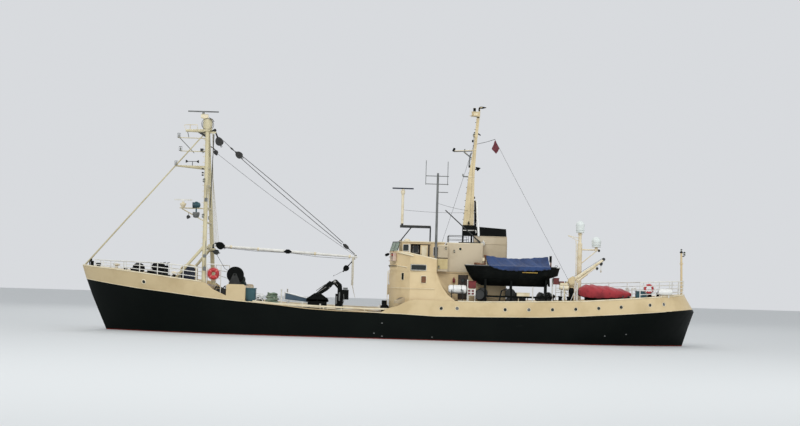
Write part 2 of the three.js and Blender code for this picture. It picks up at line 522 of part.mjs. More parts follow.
const knuckles = bothSides((side) => KNUCKLE_ROWS.map((z) =>
  block(hingeX - 12, hingeX + 12, side * (LOWER.half - 5), side * (LOWER.half + DOOR.proud + 12),
    z, z + 30))).flat();
add('deckhouse', join(cut(lowerShell, underLine(raise(poopDeck, GAP)), lowerDoors), knuckles), CREAM);
for (const [name, side] of [['port', 1], ['starboard', -1]]) {
  const hinge = assembly(hingeX, side * (LOWER.half + DOOR.proud), DOOR.foot);
  const leaf = block(0, 390, side * -16, side * 8, -DOOR.lap, DOOR.top - DOOR.foot + DOOR.lap);
  add(`deckhouse_door_${name}`, leaf, WOOD, hinge);
}

const CASING = { fore: -3390, aft: -4710, half: 520, top: 4190 };
const MAST_STEP_Z = 4620;
add('funnel_casing', join(
  block(CHART.aft - 25, CASING.aft, -CASING.half, CASING.half, BRIDGE_DECK_Z + GAP, CASING.top),
  block(CASING.fore, CHART.aft - 30, -CASING.half, CASING.half, CHART.top + GAP, CASING.top)), TAN);
const funnelSide = [
  [CASING.fore, CASING.top + GAP], [CASING.fore, 4570], [-4665, 4495], [-4690, CASING.top + GAP]];
const mastPosts = [[-2950, 1], [-2950, -1], [-3300, 1], [-3300, -1]];
const mastPost = ([x, side]) =>
  block(x - 25, x + 25, side * 270 - 25, side * 270 + 25, CHART.top + GAP, 4300);
add('funnel_top', join(
  sidePrism(funnelSide, -470, 470),
  block(-2925, CASING.fore - 5, -300, 300, CASING.top + GAP, MAST_STEP_Z),
  mastPosts.map(mastPost),
  rod([-3445, 0, 4400], [-3418, 0, 5616], 50, 45)), BLACK);

const boxRing = (z, fore, aft, half) => [[aft, -half, z], [fore, -half, z], [fore, half, z], [aft, half, z]];
const AFT_MAST = [
  [MAST_STEP_Z + GAP, -2937, -3369, 190], [6580, -3105, -3350, 105], [7674, -3270, -3395, 55],
  [9090, -3385, -3500, 50],
];
const mastArms = [
  rod([-2471, 0, 7609], [-3290, 0, 7655], 24), rod([-2900, 0, 7625], [-3270, 0, 7300], 14),
  rod([-2885, 0, 6598], [-3200, 0, 6598], 20), rod([-3290, -420, 8250], [-3290, 420, 8250], 20),
  rod([-3290, 0, 8250], [-3400, 0, 8250], 24),
  block(-3176, -3490, -120, 120, 9050, 9215), block(-3090, -3200, -30, 30, 9055, 9075),
  post(-3282, 0, 9200, 9385, 48), post(-3490, 0, 9080, 9420, 24),
  rod([-3480, 0, 9405], [-3755, 0, 9428], 30, 10),
];
add('aft_mast', join(loft(AFT_MAST.map((row) => boxRing(...row))), mastArms), CREAM);

const BOAT_BOOM = { x: -3611, y: 680, z: CHART.top };
const boatBoom = assembly(BOAT_BOOM.x, BOAT_BOOM.y, BOAT_BOOM.z);
const BOAT_PIN_Z = 76;
add('boat_boom_heel', join(post(0, 0, GAP, 30, 70), block(-30, 30, -16, 16, 20, 110),
  hub(0, BOAT_PIN_Z, 19.7, 20)), DARK, boatBoom);
const boatBoomSolid = join(
  rod([60, 0, 53], [1412, 0, 1245], 26, 20, 8),
  bothSides((side) => sidePrism([[-30, -30], [30, -30], [110, 60], [70, 110], [-30, 20]],
    side * 27 - 7, side * 27 + 7)),
);
add('boat_boom', boatBoomSolid, DARK, assembly(0, 0, BOAT_PIN_Z, boatBoom));

// Bridge radar on its platform, and the grey aerial mast
const ROOF_Z = WH.top + 55;
const RADAR = { x: -480, z: 5950, fore: -400, aft: -1640, plate: 4455 };
add('radar_platform', join(
  block(RADAR.fore, RADAR.aft, -230, 230, RADAR.plate, RADAR.plate + 40),
  bothSides((side) => [
    block(-1655, -1605, side * 200 - 25, side * 200 + 25, ROOF_Z + GAP, RADAR.plate + 40),
    rod([-860, side * 200, RADAR.plate + 20], [-440, side * 200, ROOF_Z + 32], 20, 20, 8),
    block(-500, -380, side * 200 - 40, side * 200 + 40, ROOF_Z + GAP, ROOF_Z + 40),
    block(RADAR.fore, RADAR.aft, side * 215 - 15, side * 215 + 15, RADAR.plate, RADAR.plate + 95),
  ]).flat(),
  block(RADAR.x - 60, RADAR.x + 60, -60, 60, RADAR.plate, RADAR.plate + 90),
  post(RADAR.x, 0, RADAR.plate + 60, 5840, 50), post(RADAR.x, 0, 5800, RADAR.z, 60, 90)), DARK);
add('bridge_scanner', scanner(860, 34), DARK, assembly(RADAR.x, 0, RADAR.z));

const AERIAL = { x: -1850, y: 1300, base: BRIDGE_DECK_Z, top: 6620 };
const aerialBars = [[6500, -1366, -2286], [6180, -1376, -2280], [5860, -1850, -2270]];
add('aerial_mast', join(
  post(AERIAL.x, AERIAL.y, AERIAL.base + GAP, AERIAL.top, 55, 42),
  aerialBars.map(([z, fore, aft]) => rod([fore, AERIAL.y, z], [aft, AERIAL.y, z], 16, 16, 8)),
  [[-1370, 7114], [-2240, 7090]].map(([x, top]) => post(x, AERIAL.y, 6150, top, 13, 13, 8))), GREY);

// Workboat on its cradle, under a laced cover
const BOAT = { x: -4880, y: 1500 };
const BOAT_LINES = [
  { z: 2245, stem: 1200, stern: -1400, half: 60, entry: [600, 2, 1], run: [300, 2, 0.6] },
  { z: 2385, stem: 1485, stern: -1435, half: 300, entry: [1100, 2, 1], run: [700, 2, 0.6] },
  { z: 2550, stem: 1625, stern: -1490, half: 430, entry: [1250, 2, 0.9], run: [700, 2, 0.6] },
  { z: 2665, stem: 1695, stern: -1815, half: 490, entry: [1300, 2, 0.9], run: [760, 2, 0.5] },
  { z: 2990, stem: 1875, stern: -1893, half: 540, entry: [1450, 2, 0.8], run: [800, 2, 0.5] },
];
const boatForm = (inset) => loft(BOAT_LINES.map((line) => waterline(line, inset)));
const workboat = assembly(BOAT.x, BOAT.y, 0);
add('workboat', boatForm(0), BLACK, workboat);
const COVER_LINES = [
  [2850, 1010, -1530, 566], [3000, 1020, -1520, 572], [3150, 1040, -1480, 420], [3350, 1060, -1430, 60],
];
const coverRing = ([z, fore, aft, half]) => [
  [aft, -half * 0.85, z], [aft + 500, -half, z], [fore - 600, -half, z], [fore, -half * 0.75, z],
  [fore, half * 0.75, z], [fore - 600, half, z], [aft + 500, half, z], [aft, half * 0.85, z]];
add('workboat_cover', cut(loft(COVER_LINES.map(coverRing)), boatForm(-1)), BLUE_CLOTH, workboat);
const CHOCKS = [-3830, -4850, -6220];
const cradleLegs = (x) => bothSides((side) =>
  block(x - 35, x + 35, BOAT.y + side * 300 - 35, BOAT.y + side * 300 + 35, 1500, 2260));
const cradle = cut(join(
  CHOCKS.map((x) => block(x - 40, x + 40, BOAT.y - 330, BOAT.y + 330, 2240, 2480)),
  CHOCKS.flatMap(cradleLegs),
  bothSides((side) => block(CHOCKS[0], CHOCKS[2], BOAT.y + side * 300 - 25, BOAT.y + side * 300 + 25,
    1760, 1830)),
), underLine(raise(poopDeck, GAP)), boatForm(-GAP).translate([BOAT.x, BOAT.y, 0]));
add('boat_cradle', cradle, DARK);

// Life rafts in their canisters, side stairs and lockers on the poop
for (const [name, side] of [['port', 1], ['starboard', -1]]) {
  const raft = join(
    rod([-2364, side * 1900, 2040], [-3082, side * 1900, 2040], 170, 170, 20),
    [-2500, -2940].map((x) => block(x - 30, x + 30, side * 1900 - 150, side * 1900 + 150, 1500, 1950)),
    block(-2420, -3020, side * 1900 - 40, side * 1900 + 40, 1560, 1600));
  add(`life_raft_${name}`, raft.subtract(underLine(raise(poopDeck, GAP))), WHITE);
}
const INFLATABLE_Y = 850;
const INFLATABLE_LINES = [
  [1700, -7640, -9560, 400], [1950, -7580, -9660, 500], [2150, -7562, -9689, 520], [2330, -7680, -9580, 420],
  [2387, -7900, -9400, 200],
];
const tubeRing = ([z, fore, aft, half]) => [
  [aft, -half * 0.8], [aft + 300, -half], [fore - 500, -half], [fore, -half * 0.4],
  [fore, half * 0.4], [fore - 500, half], [aft + 300, half], [aft, half * 0.8],
].map(([x, y]) => [x, y + INFLATABLE_Y, z]);
add('inflatable', cut(loft(INFLATABLE_LINES.map(tubeRing)), underLine(raise(poopDeck, GAP))), RED_CLOTH);

// Aft crane
const AFT_CRANE = { x: -7290, y: 1150, slew: 2250 };
add('aft_crane_pedestal', post(AFT_CRANE.x, AFT_CRANE.y, 1500, AFT_CRANE.slew, 120)
  .subtract(underLine(raise(poopDeck, GAP))), DARK);
const aftSlew = assembly(AFT_CRANE.x, AFT_CRANE.y, AFT_CRANE.slew);
const AFT_PIN = { x: 50, z: 200 };
add('aft_crane_column', cut(join(
  post(0, 0, GAP, 70, 110),
  block(-90, 110, -104, 104, 50, 270)), block(-120, 160, -72, 72, 90, 300)), CREAM, aftSlew);
const aftBoom = assembly(AFT_PIN.x, 0, AFT_PIN.z, aftSlew);
const aftTip = [-1297, 0, 921];
add('aft_crane_boom', join(
  rod([45, 0, -32], aftTip, 68, 50, 10), hub(0, 0, 71.7, 42),
  block(aftTip[0] + 60, aftTip[0] + 140, -25, 25, aftTip[2] - 170, aftTip[2] - 60)), CREAM, aftBoom);

// Aerial domes on their pillar, and the stern light mast
const PILLAR = { x: -7690, top: 4455, arm: 3775 };
const LOWER_DOME = { x: -8357, z: 3885 };
add('dome_pillar', join(
  post(PILLAR.x, 0, 1500, 4020, 98), post(PILLAR.x, 0, 4000, PILLAR.top, 66),
  rod([PILLAR.x, 0, PILLAR.arm], [LOWER_DOME.x - 150, 0, PILLAR.arm], 28),
  rod([PILLAR.x, 0, 3155], [-8380, 0, 3745], 20),
  post(LOWER_DOME.x, 0, PILLAR.arm - 20, LOWER_DOME.z, 60),
  rod([PILLAR.x, 0, 4230], [-7200, 0, 4330], 14), rod([PILLAR.x, 0, 4090], [-7215, 0, 4320], 12),
).subtract(underLine(raise(poopDeck, GAP))), CREAM);
const dome = (x, z, r, height) => join(
  post(x, 0, z + GAP, z + height - r, r * 0.86, r, 20),
  ball(x, 0, z + height - r, r, 20).intersect(block(x - r, x + r, -r, r, z + height - r - 5, z + height)));
add('dome_upper', dome(PILLAR.x, PILLAR.top, 178, 482), WHITE);
add('dome_lower', dome(LOWER_DOME.x, LOWER_DOME.z, 196, 418), WHITE);

// Rudder and propeller
const rudder = assembly(RUDDER.x, 0, 0);
const foil = [[170, 0], [110, 42], [-120, 36], [-470, 8], [-470, -8], [-120, -36], [110, -42]];
add('rudder', join(
  planPrism(foil.reverse(), RUDDER.foot, RUDDER.top - 5),
  post(0, 0, RUDDER.top - 20, RUDDER.trunk - GAP, 40),
  post(0, 0, RUDDER.sole + GAP, RUDDER.foot + 20, 34)), BLACK, rudder);
const bladeShape = Array.from({ length: 14 }, (_, i) => {
  const a = (i / 14) * 2 * Math.PI;
  return [Math.sin(a) * 125, 275 + Math.cos(a) * 195];
});
const blade = toSolid(slab(bladeShape.reverse(), 22).translate(0, 0, -11).rotateY(Math.PI / 2 + 0.6));
const propellerPlace = assembly(PROPELLER.x, 0, PROPELLER.z);
add('propeller', join(
  rod([110, 0, 0], [-110, 0, 0], 100, 80, 16), rod([-110, 0, 0], [-190, 0, 0], 80, 20, 16),
  rod([100, 0, 0], [PROPELLER.bossEnd - PROPELLER.x - GAP, 0, 0], 48, 48, 16),
  [0, 90, 180, 270].map((angle) => blade.rotate([angle, 0, 0]))), BRONZE, propellerPlace);

export default ship;
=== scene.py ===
"""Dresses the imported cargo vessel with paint, rails, rigging, covers, lamps and deck gear."""
import json
import math

import bmesh
import bpy
from mathutils import Matrix, Vector


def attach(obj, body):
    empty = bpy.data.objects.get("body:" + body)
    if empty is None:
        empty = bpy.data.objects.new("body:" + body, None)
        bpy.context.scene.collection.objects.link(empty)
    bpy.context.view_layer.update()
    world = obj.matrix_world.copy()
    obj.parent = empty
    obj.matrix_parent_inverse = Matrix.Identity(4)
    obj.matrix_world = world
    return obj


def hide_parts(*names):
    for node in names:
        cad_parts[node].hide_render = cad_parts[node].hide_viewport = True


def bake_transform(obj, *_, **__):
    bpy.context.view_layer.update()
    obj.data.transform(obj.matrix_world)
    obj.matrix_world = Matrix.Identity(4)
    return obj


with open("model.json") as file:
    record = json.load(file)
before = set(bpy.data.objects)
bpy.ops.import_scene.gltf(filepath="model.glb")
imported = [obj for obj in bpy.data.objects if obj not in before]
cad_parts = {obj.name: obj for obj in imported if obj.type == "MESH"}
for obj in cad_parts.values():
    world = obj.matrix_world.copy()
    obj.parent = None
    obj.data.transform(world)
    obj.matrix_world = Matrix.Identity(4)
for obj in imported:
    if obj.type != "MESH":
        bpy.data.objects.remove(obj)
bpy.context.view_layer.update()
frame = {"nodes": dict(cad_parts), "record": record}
SHIP = "ship"
UP = Vector((0, 0, 1))
ACROSS = Vector((0, 1, 0))
AHEAD = Vector((1, 0, 0))
SIDES = (("port", 1), ("starboard", -1))

# Camera: the photograph is taken from the port side, far off, with a slight roll
EYE = Vector((-0.383, 72.15, 2.25))
AIM = Vector((-0.383, 2.15, 4.956))
ROLL = math.radians(1.70)
PICTURE_WIDTH = 31.38
PICTURE_DISTANCE = 70.0
SENSOR = 36.0


def put_in_scene(name, data):
    made = bpy.data.objects.new(name, data)
    bpy.context.scene.collection.objects.link(made)
    return made


def turned_to(one, two, three):
    """The turn that takes X, Y and Z to three directions."""
    return Matrix((one, two, three)).transposed().to_4x4()


# Scene: camera, floor at the waterline, soft light
def make_camera():
    data = bpy.data.cameras.new("camera")
    data.sensor_width = SENSOR
    data.lens = SENSOR * PICTURE_DISTANCE / PICTURE_WIDTH
    data.clip_end = 500
    camera = put_in_scene("camera", data)
    ahead = (AIM - EYE).normalized()
    right = ahead.cross(UP).normalized()
    up = right.cross(ahead)
    rolled_right = math.cos(ROLL) * right + math.sin(ROLL) * up
    rolled_up = math.cos(ROLL) * up - math.sin(ROLL) * right
    camera.matrix_world = Matrix.Translation(EYE) @ turned_to(rolled_right, rolled_up, -ahead)
    bpy.context.scene.camera = camera


def make_light(name, energy, size, place, aim):
    data = bpy.data.lights.new(name, "AREA")
    data.energy = energy
    data.shape = "DISK"
    data.size = size
    light = put_in_scene(name, data)
    light.location = place
    light.rotation_euler = (Vector(aim) - Vector(place)).to_track_quat("-Z", "Y").to_euler()


def make_stage():
    mesh = bpy.data.meshes.new("floor")
    reach = 160
    corners = [(-reach, -reach, 0), (reach, -reach, 0), (reach, reach, 0), (-reach, reach, 0)]
    mesh.from_pydata(corners, [], [(0, 1, 2, 3)])
    floor = put_in_scene("floor", mesh)
    material = bpy.data.materials.new("pale_floor")
    material.use_nodes = True
    shader = material.node_tree.nodes["Principled BSDF"]
    shader.inputs["Base Color"].default_value = (0.62, 0.64, 0.64, 1)
    shader.inputs["Roughness"].default_value = 0.7
    mesh.materials.append(material)
    world = bpy.data.worlds.new("sky")
    world.use_nodes = True
    background = world.node_tree.nodes["Background"]
    background.inputs["Color"].default_value = (0.80, 0.82, 0.85, 1)
    background.inputs["Strength"].default_value = 0.86
    bpy.context.scene.world = world
    bpy.context.scene.view_settings.view_transform = "Standard"
    make_light("key", 8200, 26, (14, 44, 34), (0, 0, 2))
    make_light("fill", 3200, 30, (-26, 34, 20), (0, 0, 2))
    make_light("back", 3500, 26, (4, -40, 30), (0, 0, 2))


make_camera()
make_stage()


# Materials, all worked out in the ship's own space
def linear(colour):
    """Shader values for a colour of red, green and blue from 0 to 255."""
    shares = [value / 255 for value in colour]
    return (*(share / 12.92 if share <= 0.04045 else ((share + 0.055) / 1.055) ** 2.4 for share in shares),
            1)


# Where a mix node keeps its colours among its sockets
FIRST_COLOUR, SECOND_COLOUR, MIXED_COLOUR = 6, 7, 2


class Layers:
    """A Principled material that takes its detail from stacked noise in object space."""

    def __init__(self, name, colour, roughness=0.5, metallic=0.0, **sockets):
        self.material = bpy.data.materials.new(name)
        self.material.use_nodes = True
        self.tree = self.material.node_tree
        self.shader = self.tree.nodes["Principled BSDF"]
        self.shader.inputs["Roughness"].default_value = roughness
        self.shader.inputs["Metallic"].default_value = metallic
        for socket, value in sockets.items():
            self.shader.inputs[socket.replace("_", " ")].default_value = value
        self.colour = linear(colour)
        self.shader.inputs["Base Color"].default_value = self.colour
        self.place = self.tree.nodes.new("ShaderNodeTexCoord").outputs["Object"]
        self.height = None

    def node(self, kind, links=(), **values):
        made = self.tree.nodes.new(kind)
        for key, value in values.items():
            setattr(made, key, value)
        for key, value in dict(links).items():
            if isinstance(value, bpy.types.NodeSocket):
                self.tree.links.new(value, made.inputs[key])
            else:
                made.inputs[key].default_value = value
        return made

    def stretched(self, scale):
        return self.node("ShaderNodeMapping", {"Vector": self.place, "Scale": scale}).outputs["Vector"]

    def noise(self, scale, detail=4.0, stretch=(1, 1, 1)):
        made = self.node("ShaderNodeTexNoise", {
            "Vector": self.stretched(stretch), "Scale": scale, "Detail": detail, "Roughness": 0.6})
        return made.outputs["Fac"]

    def between(self, value, low, high):
        """0 below low, 1 above high, smooth between them."""
        made = self.node("ShaderNodeMapRange", {"Value": value, "From Min": low, "From Max": high})
        made.interpolation_type = "SMOOTHSTEP"
        return made.outputs["Result"]

    def tint(self, factor, colour):
        """Turns the colour so far into another where the factor says."""
        mix = self.node("ShaderNodeMix", data_type="RGBA")
        self.tree.links.new(factor, mix.inputs["Factor"])
        if isinstance(self.colour, bpy.types.NodeSocket):
            self.tree.links.new(self.colour, mix.inputs[FIRST_COLOUR])
        else:
            mix.inputs[FIRST_COLOUR].default_value = self.colour
        mix.inputs[SECOND_COLOUR].default_value = linear(colour)
        self.colour = mix.outputs[MIXED_COLOUR]
        self.tree.links.new(self.colour, self.shader.inputs["Base Color"])
        return self

    def mottle(self, colour, scale, low=0.42, high=0.68, stretch=(1, 1, 1)):
        return self.tint(self.between(self.noise(scale, 6, stretch), low, high), colour)

    def runs(self, colour, cover, scale=1.0):
        """Streaks that hang down, as rust and dirt do."""
        return self.mottle(colour, 5 * scale, cover, cover + 0.10, (1, 1, 0.12))

    def below(self, level, colour):
        """Another colour under a level, with a slightly uneven edge."""
        height = self.node("ShaderNodeSeparateXYZ", {"Vector": self.place}).outputs["Z"]
        wobble = self.node("ShaderNodeMath", {0: self.noise(3.0), 1: 0.04}, operation="MULTIPLY")
        edge = self.node("ShaderNodeMath", {0: height, 1: wobble.outputs["Value"]}, operation="ADD")
        return self.tint(self.between(edge.outputs["Value"], level + 0.03, level + 0.01), colour)

    def deck(self, colour):
        """Level faces get a deck coating."""
        normal = self.node("ShaderNodeNewGeometry").outputs["Normal"]
        up = self.node("ShaderNodeSeparateXYZ", {"Vector": normal}).outputs["Z"]
        return self.tint(self.between(up, 0.9, 0.97), colour)

    def rough(self, low, high):
        made = self.node("ShaderNodeMapRange", {"Value": self.noise(4.0), "To Min": low, "To Max": high})
        self.tree.links.new(made.outputs["Result"], self.shader.inputs["Roughness"])
        return self

    def bump(self, value, strength, distance):
        made = self.node("ShaderNodeBump", {"Height": value, "Strength": strength, "Distance": distance})
        if self.height is not None:
            self.tree.links.new(self.height, made.inputs["Normal"])
        self.height = made.outputs["Normal"]
        self.tree.links.new(self.height, self.shader.inputs["Normal"])
        return self

    def plating(self, length, depth, strength):
        """Seams between welded plates on the ship's sides."""
        axes = self.node("ShaderNodeSeparateXYZ", {"Vector": self.place})
        flat = self.node("ShaderNodeCombineXYZ", {"X": axes.outputs["X"], "Y": axes.outputs["Z"]})
        seams = self.node("ShaderNodeTexBrick", {
            "Vector": flat.outputs["Vector"], "Scale": 1.0, "Mortar Size": 0.006, "Mortar Smooth": 0.6,
            "Brick Width": length, "Row Height": depth})
        self.bump(seams.outputs["Fac"], -strength, 0.006)
        return self.bump(self.noise(1.6, 2), 0.35, 0.02)

    def weave(self, scale):
        for axis in ("X", "Z"):
            threads = self.node("ShaderNodeTexWave", {"Vector": self.place, "Scale": scale,
                                                      "Distortion": 0.6}, bands_direction=axis)
            self.bump(threads.outputs["Fac"], 0.3, 0.002)
        return self


RUST = (150, 88, 50)
DECK_COAT = (96, 66, 56)


def house_paint(name, colour, shade, deck=DECK_COAT, rust=0.72):
    made = Layers(name, colour, 0.42).mottle(shade, 0.8).runs(RUST, rust).deck(deck)
    return made.rough(0.34, 0.55).plating(1.9, 0.62, 0.25).material


def plain_paint(name, colour, shade, rough=(0.35, 0.55), rust=0.75, scale=3.0, metallic=0.0):
    made = Layers(name, colour, metallic=metallic).mottle(shade, scale).runs(RUST, rust, 2)
    return made.rough(*rough).bump(made.noise(60, 3), 0.15, 0.002).material


def cloth(name, colour, shade, threads=190):
    made = Layers(name, colour, 0.82, Sheen_Weight=0.25).mottle(shade, 1.6).mottle(shade, 9, 0.55, 0.7)
    return made.weave(threads).bump(made.noise(14, 3), 0.3, 0.01).material


cream = house_paint("cream", (225, 202, 158), (211, 186, 141))
cream_pale = plain_paint("cream_pale", (234, 222, 192), (218, 202, 164), rust=0.78)
cream_mast = plain_paint("cream_mast", (218, 200, 158), (198, 178, 136), rust=0.70, scale=1.4)
cream_fore = plain_paint("cream_foremast", (208, 198, 162), (186, 174, 138), rust=0.72, scale=1.4)
# A darker copy of the house cream for the forecastle: painted shade on the side of the bow
shaded_cream_bow = house_paint("shaded_cream_bow", (208, 187, 145), (194, 172, 130))
cream_poop = house_paint("cream_poop", (218, 196, 152), (204, 181, 136))
tan = house_paint("tan", (203, 188, 160), (188, 172, 142), (120, 108, 92), 0.78)
white = plain_paint("white_paint", (232, 230, 222), (210, 208, 198))
hull = (Layers("hull", (5, 10, 8), 0.6, Specular_IOR_Level=0.08).mottle((9, 15, 12), 0.5)
        .mottle((30, 34, 31), 2.4, 0.70, 0.80, (0.5, 1, 1.6)).runs((52, 44, 38), 0.76)
        .below(0.03, (120, 44, 36)).deck(DECK_COAT).rough(0.42, 0.62).plating(2.4, 0.6, 0.3)).material
dark = plain_paint("dark_steel", (30, 33, 31), (46, 47, 45), (0.45, 0.65), 0.74)
black = (Layers("black_paint", (7, 10, 8), 0.6, Specular_IOR_Level=0.10).mottle((15, 18, 16), 3)
         .runs(RUST, 0.80, 2).rough(0.5, 0.7)).material
machine = plain_paint("machine_green", (38, 60, 52), (26, 38, 34), (0.3, 0.5), 0.74)
deck_paint = plain_paint("deck_paint", (106, 62, 52), (84, 54, 46), (0.6, 0.8), 0.62, 1.2)
grey = plain_paint("grey_paint", (112, 114, 112), (88, 90, 88), rust=0.70)
bronze = plain_paint("bronze", (172, 132, 72), (120, 98, 60), (0.3, 0.5), 0.8, 6, 0.9)
steel = plain_paint("bare_steel", (150, 150, 146), (110, 106, 100), (0.3, 0.5), 0.7, 8, 0.8)
rope = Layers("wire_rope", (60, 60, 58), 0.6, 0.5).mottle((30, 30, 30), 30).material
fibre = Layers("fibre_rope", (214, 208, 190), 0.9).mottle((170, 160, 136), 40).material
moulding = (Layers("white_moulding", (236, 236, 232), 0.3, Coat_Weight=0.3)
            .mottle((228, 228, 222), 2.5).rough(0.24, 0.4)).material
red = plain_paint("signal_red", (190, 44, 48), (150, 34, 40))
dark_red = plain_paint("dark_red", (118, 34, 34), (88, 30, 28))
green = plain_paint("signal_green", (30, 110, 70), (26, 84, 56))
yellow = plain_paint("yellow_paint", (206, 168, 74), (176, 140, 66))
faded_red = plain_paint("old_red_paint", (214, 104, 98), (196, 128, 118))
straw = plain_paint("straw_paint", (214, 196, 144), (200, 180, 128))
pink_paint = plain_paint("faded_red_paint", (206, 184, 168), (190, 162, 148))
navy_paint = plain_paint("navy_paint", (30, 40, 58), (22, 28, 42))
teal = plain_paint("teal_paint", (44, 86, 94), (32, 62, 70))
wood = (Layers("varnished_wood", (132, 86, 52), 0.45).mottle((92, 58, 36), 3, 0.4, 0.6, (1, 1, 12))
        .rough(0.35, 0.55)).material
blue_cloth = cloth("blue_cloth", (36, 64, 112), (24, 44, 84))
red_cloth = cloth("red_cloth", (168, 48, 56), (128, 34, 42))
# The flag's second colour, far darker than its red, is painted shade in the folds of the cloth
flag_cloth = cloth("flag_cloth", (106, 42, 50), (40, 22, 26), 300)
dark_glass = (Layers("dark_glass", (16, 24, 22), 0.08, Specular_IOR_Level=0.6)
              .mottle((34, 44, 40), 1.5)).material
green_glass = (Layers("green_glass", (150, 168, 150), 0.1, Specular_IOR_Level=0.6, Alpha=0.55)
               .mottle((128, 148, 130), 2.5)).material
dome_white = (Layers("dome_white", (226, 232, 228), 0.6, Specular_IOR_Level=0.3).mottle((218, 223, 219), 0.9)
              .rough(0.55, 0.65)).material
lens = Layers("lamp_lens", (168, 170, 158), 0.2, Coat_Weight=0.3).mottle((132, 134, 122), 20).material
sea_blue = plain_paint("blue_paint", (74, 96, 112), (56, 76, 92))
deep_brown = plain_paint("dark_brown_paint", (60, 46, 34), (42, 32, 24))
hose_green = (Layers("hose_green", (142, 154, 134), 0.75).mottle((98, 118, 98), 3, 0.4, 0.6)
              .mottle((186, 190, 176), 6, 0.56, 0.66)).material
rubber = Layers("rubber", (26, 26, 26), 0.75).mottle((44, 44, 42), 12).material

SLOTS = {
    "hull_black": hull, "cream_paint": cream, "tan_paint": tan, "deck_red": deck_paint, "hatch_grey": grey,
    "dark_steel": dark, "winch_green": machine, "boom_white": white, "white_plastic": moulding,
    "navy_paint": navy_paint, "blue_cloth": blue_cloth, "red_cloth": red_cloth, "brown_wood": deep_brown,
    "propeller_bronze": bronze,
}
DOMES = ("dome_upper", "dome_lower")
PAINTED_APART = (
    (black, ("crane_base", "crane_column", "crane_boom", "crane_jib", "funnel_top", "hawser_reel",
             "workboat", "boat_cradle")),
    (cream_mast, ("aft_mast", "aft_crane_column", "aft_crane_pedestal")),
    (cream_pale, ("aft_crane_boom", "dome_pillar")),
    (cream_fore, ("foremast",)),
    (shaded_cream_bow, ("forecastle",)),
    (cream_poop, ("poop",)),
    (dome_white, DOMES),
    (grey, ("fore_scanner_upper",)),
    (white, ("fore_scanner_lower",)),
    (navy_paint, ("bridge_scanner",)),
)
OWN_PAINT = {name: paint for paint, names in PAINTED_APART for name in names}
EDGE_ANGLE = math.radians(40)


def bevelled(made, width, segments):
    edges = made.modifiers.new("edges", "BEVEL")
    edges.width = width
    edges.segments = segments
    edges.limit_method = "ANGLE"
    edges.angle_limit = EDGE_ANGLE


def soften_tree(limit):
    """A modifier that welds the CAD faces and smooths them where they meet at a shallow angle."""
    tree = bpy.data.node_groups.new("soften", "GeometryNodeTree")
    tree.interface.new_socket("Geometry", in_out="INPUT", socket_type="NodeSocketGeometry")
    tree.interface.new_socket("Geometry", in_out="OUTPUT", socket_type="NodeSocketGeometry")
    start, end = tree.nodes.new("NodeGroupInput"), tree.nodes.new("NodeGroupOutput")
    bare = tree.nodes.new("GeometryNodeRemoveAttribute")
    bare.inputs["Name"].default_value = "custom_normal"
    weld = tree.nodes.new("GeometryNodeMergeByDistance")
    weld.inputs["Distance"].default_value = 0.00002
    faces = tree.nodes.new("GeometryNodeSetShadeSmooth")
    edges = tree.nodes.new("GeometryNodeSetShadeSmooth")
    edges.domain = "EDGE"
    angle = tree.nodes.new("GeometryNodeInputMeshEdgeAngle")
    shallow = tree.nodes.new("FunctionNodeCompare")
    shallow.operation = "LESS_THAN"
    shallow.inputs["B"].default_value = math.radians(limit)
    link = tree.links.new
    link(angle.outputs["Unsigned Angle"], shallow.inputs["A"])
    link(shallow.outputs["Result"], edges.inputs["Shade Smooth"])
    chain = [start, bare, weld, faces, edges, end]
    for before, after in zip(chain, chain[1:]):
        link(before.outputs["Geometry"], after.inputs["Geometry"])
    return tree


SOFTEN, SOFTEN_ROUND = soften_tree(28), soften_tree(62)
slot_of = {row["node"]: row["material_slot"] for row in frame["record"]["subparts"]}
for node_name, solid in frame["nodes"].items():
    solid.data.materials.clear()
    solid.data.materials.append(OWN_PAINT.get(node_name, SLOTS[slot_of[node_name]]))
    solid.modifiers.new("soften", "NODES").node_group = SOFTEN_ROUND if node_name in DOMES else SOFTEN
    bevelled(solid, 0.006, 1)


# Shapes for the pieces that are added
def steps(start, end, count):
    return [start + (end - start) * i / (count - 1) for i in range(count)]


def full_turn(count):
    """Angles spread evenly round a circle."""
    return [2 * math.pi * k / count for k in range(count)]


def circle(at, axis, radius, turns):
    """Points at some angles round an axis."""
    spin = Vector(axis).to_track_quat("Z", "Y").to_matrix()
    return [Vector(at) + spin @ Vector((radius * math.cos(t), radius * math.sin(t), 0)) for t in turns]


def both_ends(*half, middle=None):
    """A profile that is the same on both sides of its middle."""
    low = [(radius, -height) for radius, height in half[::-1]]
    return low + ([(middle, 0)] if middle else []) + list(half)


def upright(at, turn=0.0):
    """The place of an outline that stands up along the ship, turned about Z first when asked."""
    return Matrix.Translation(at) @ Matrix.Rotation(turn, 4, "Z") @ Matrix.Rotation(math.pi / 2, 4, "X")


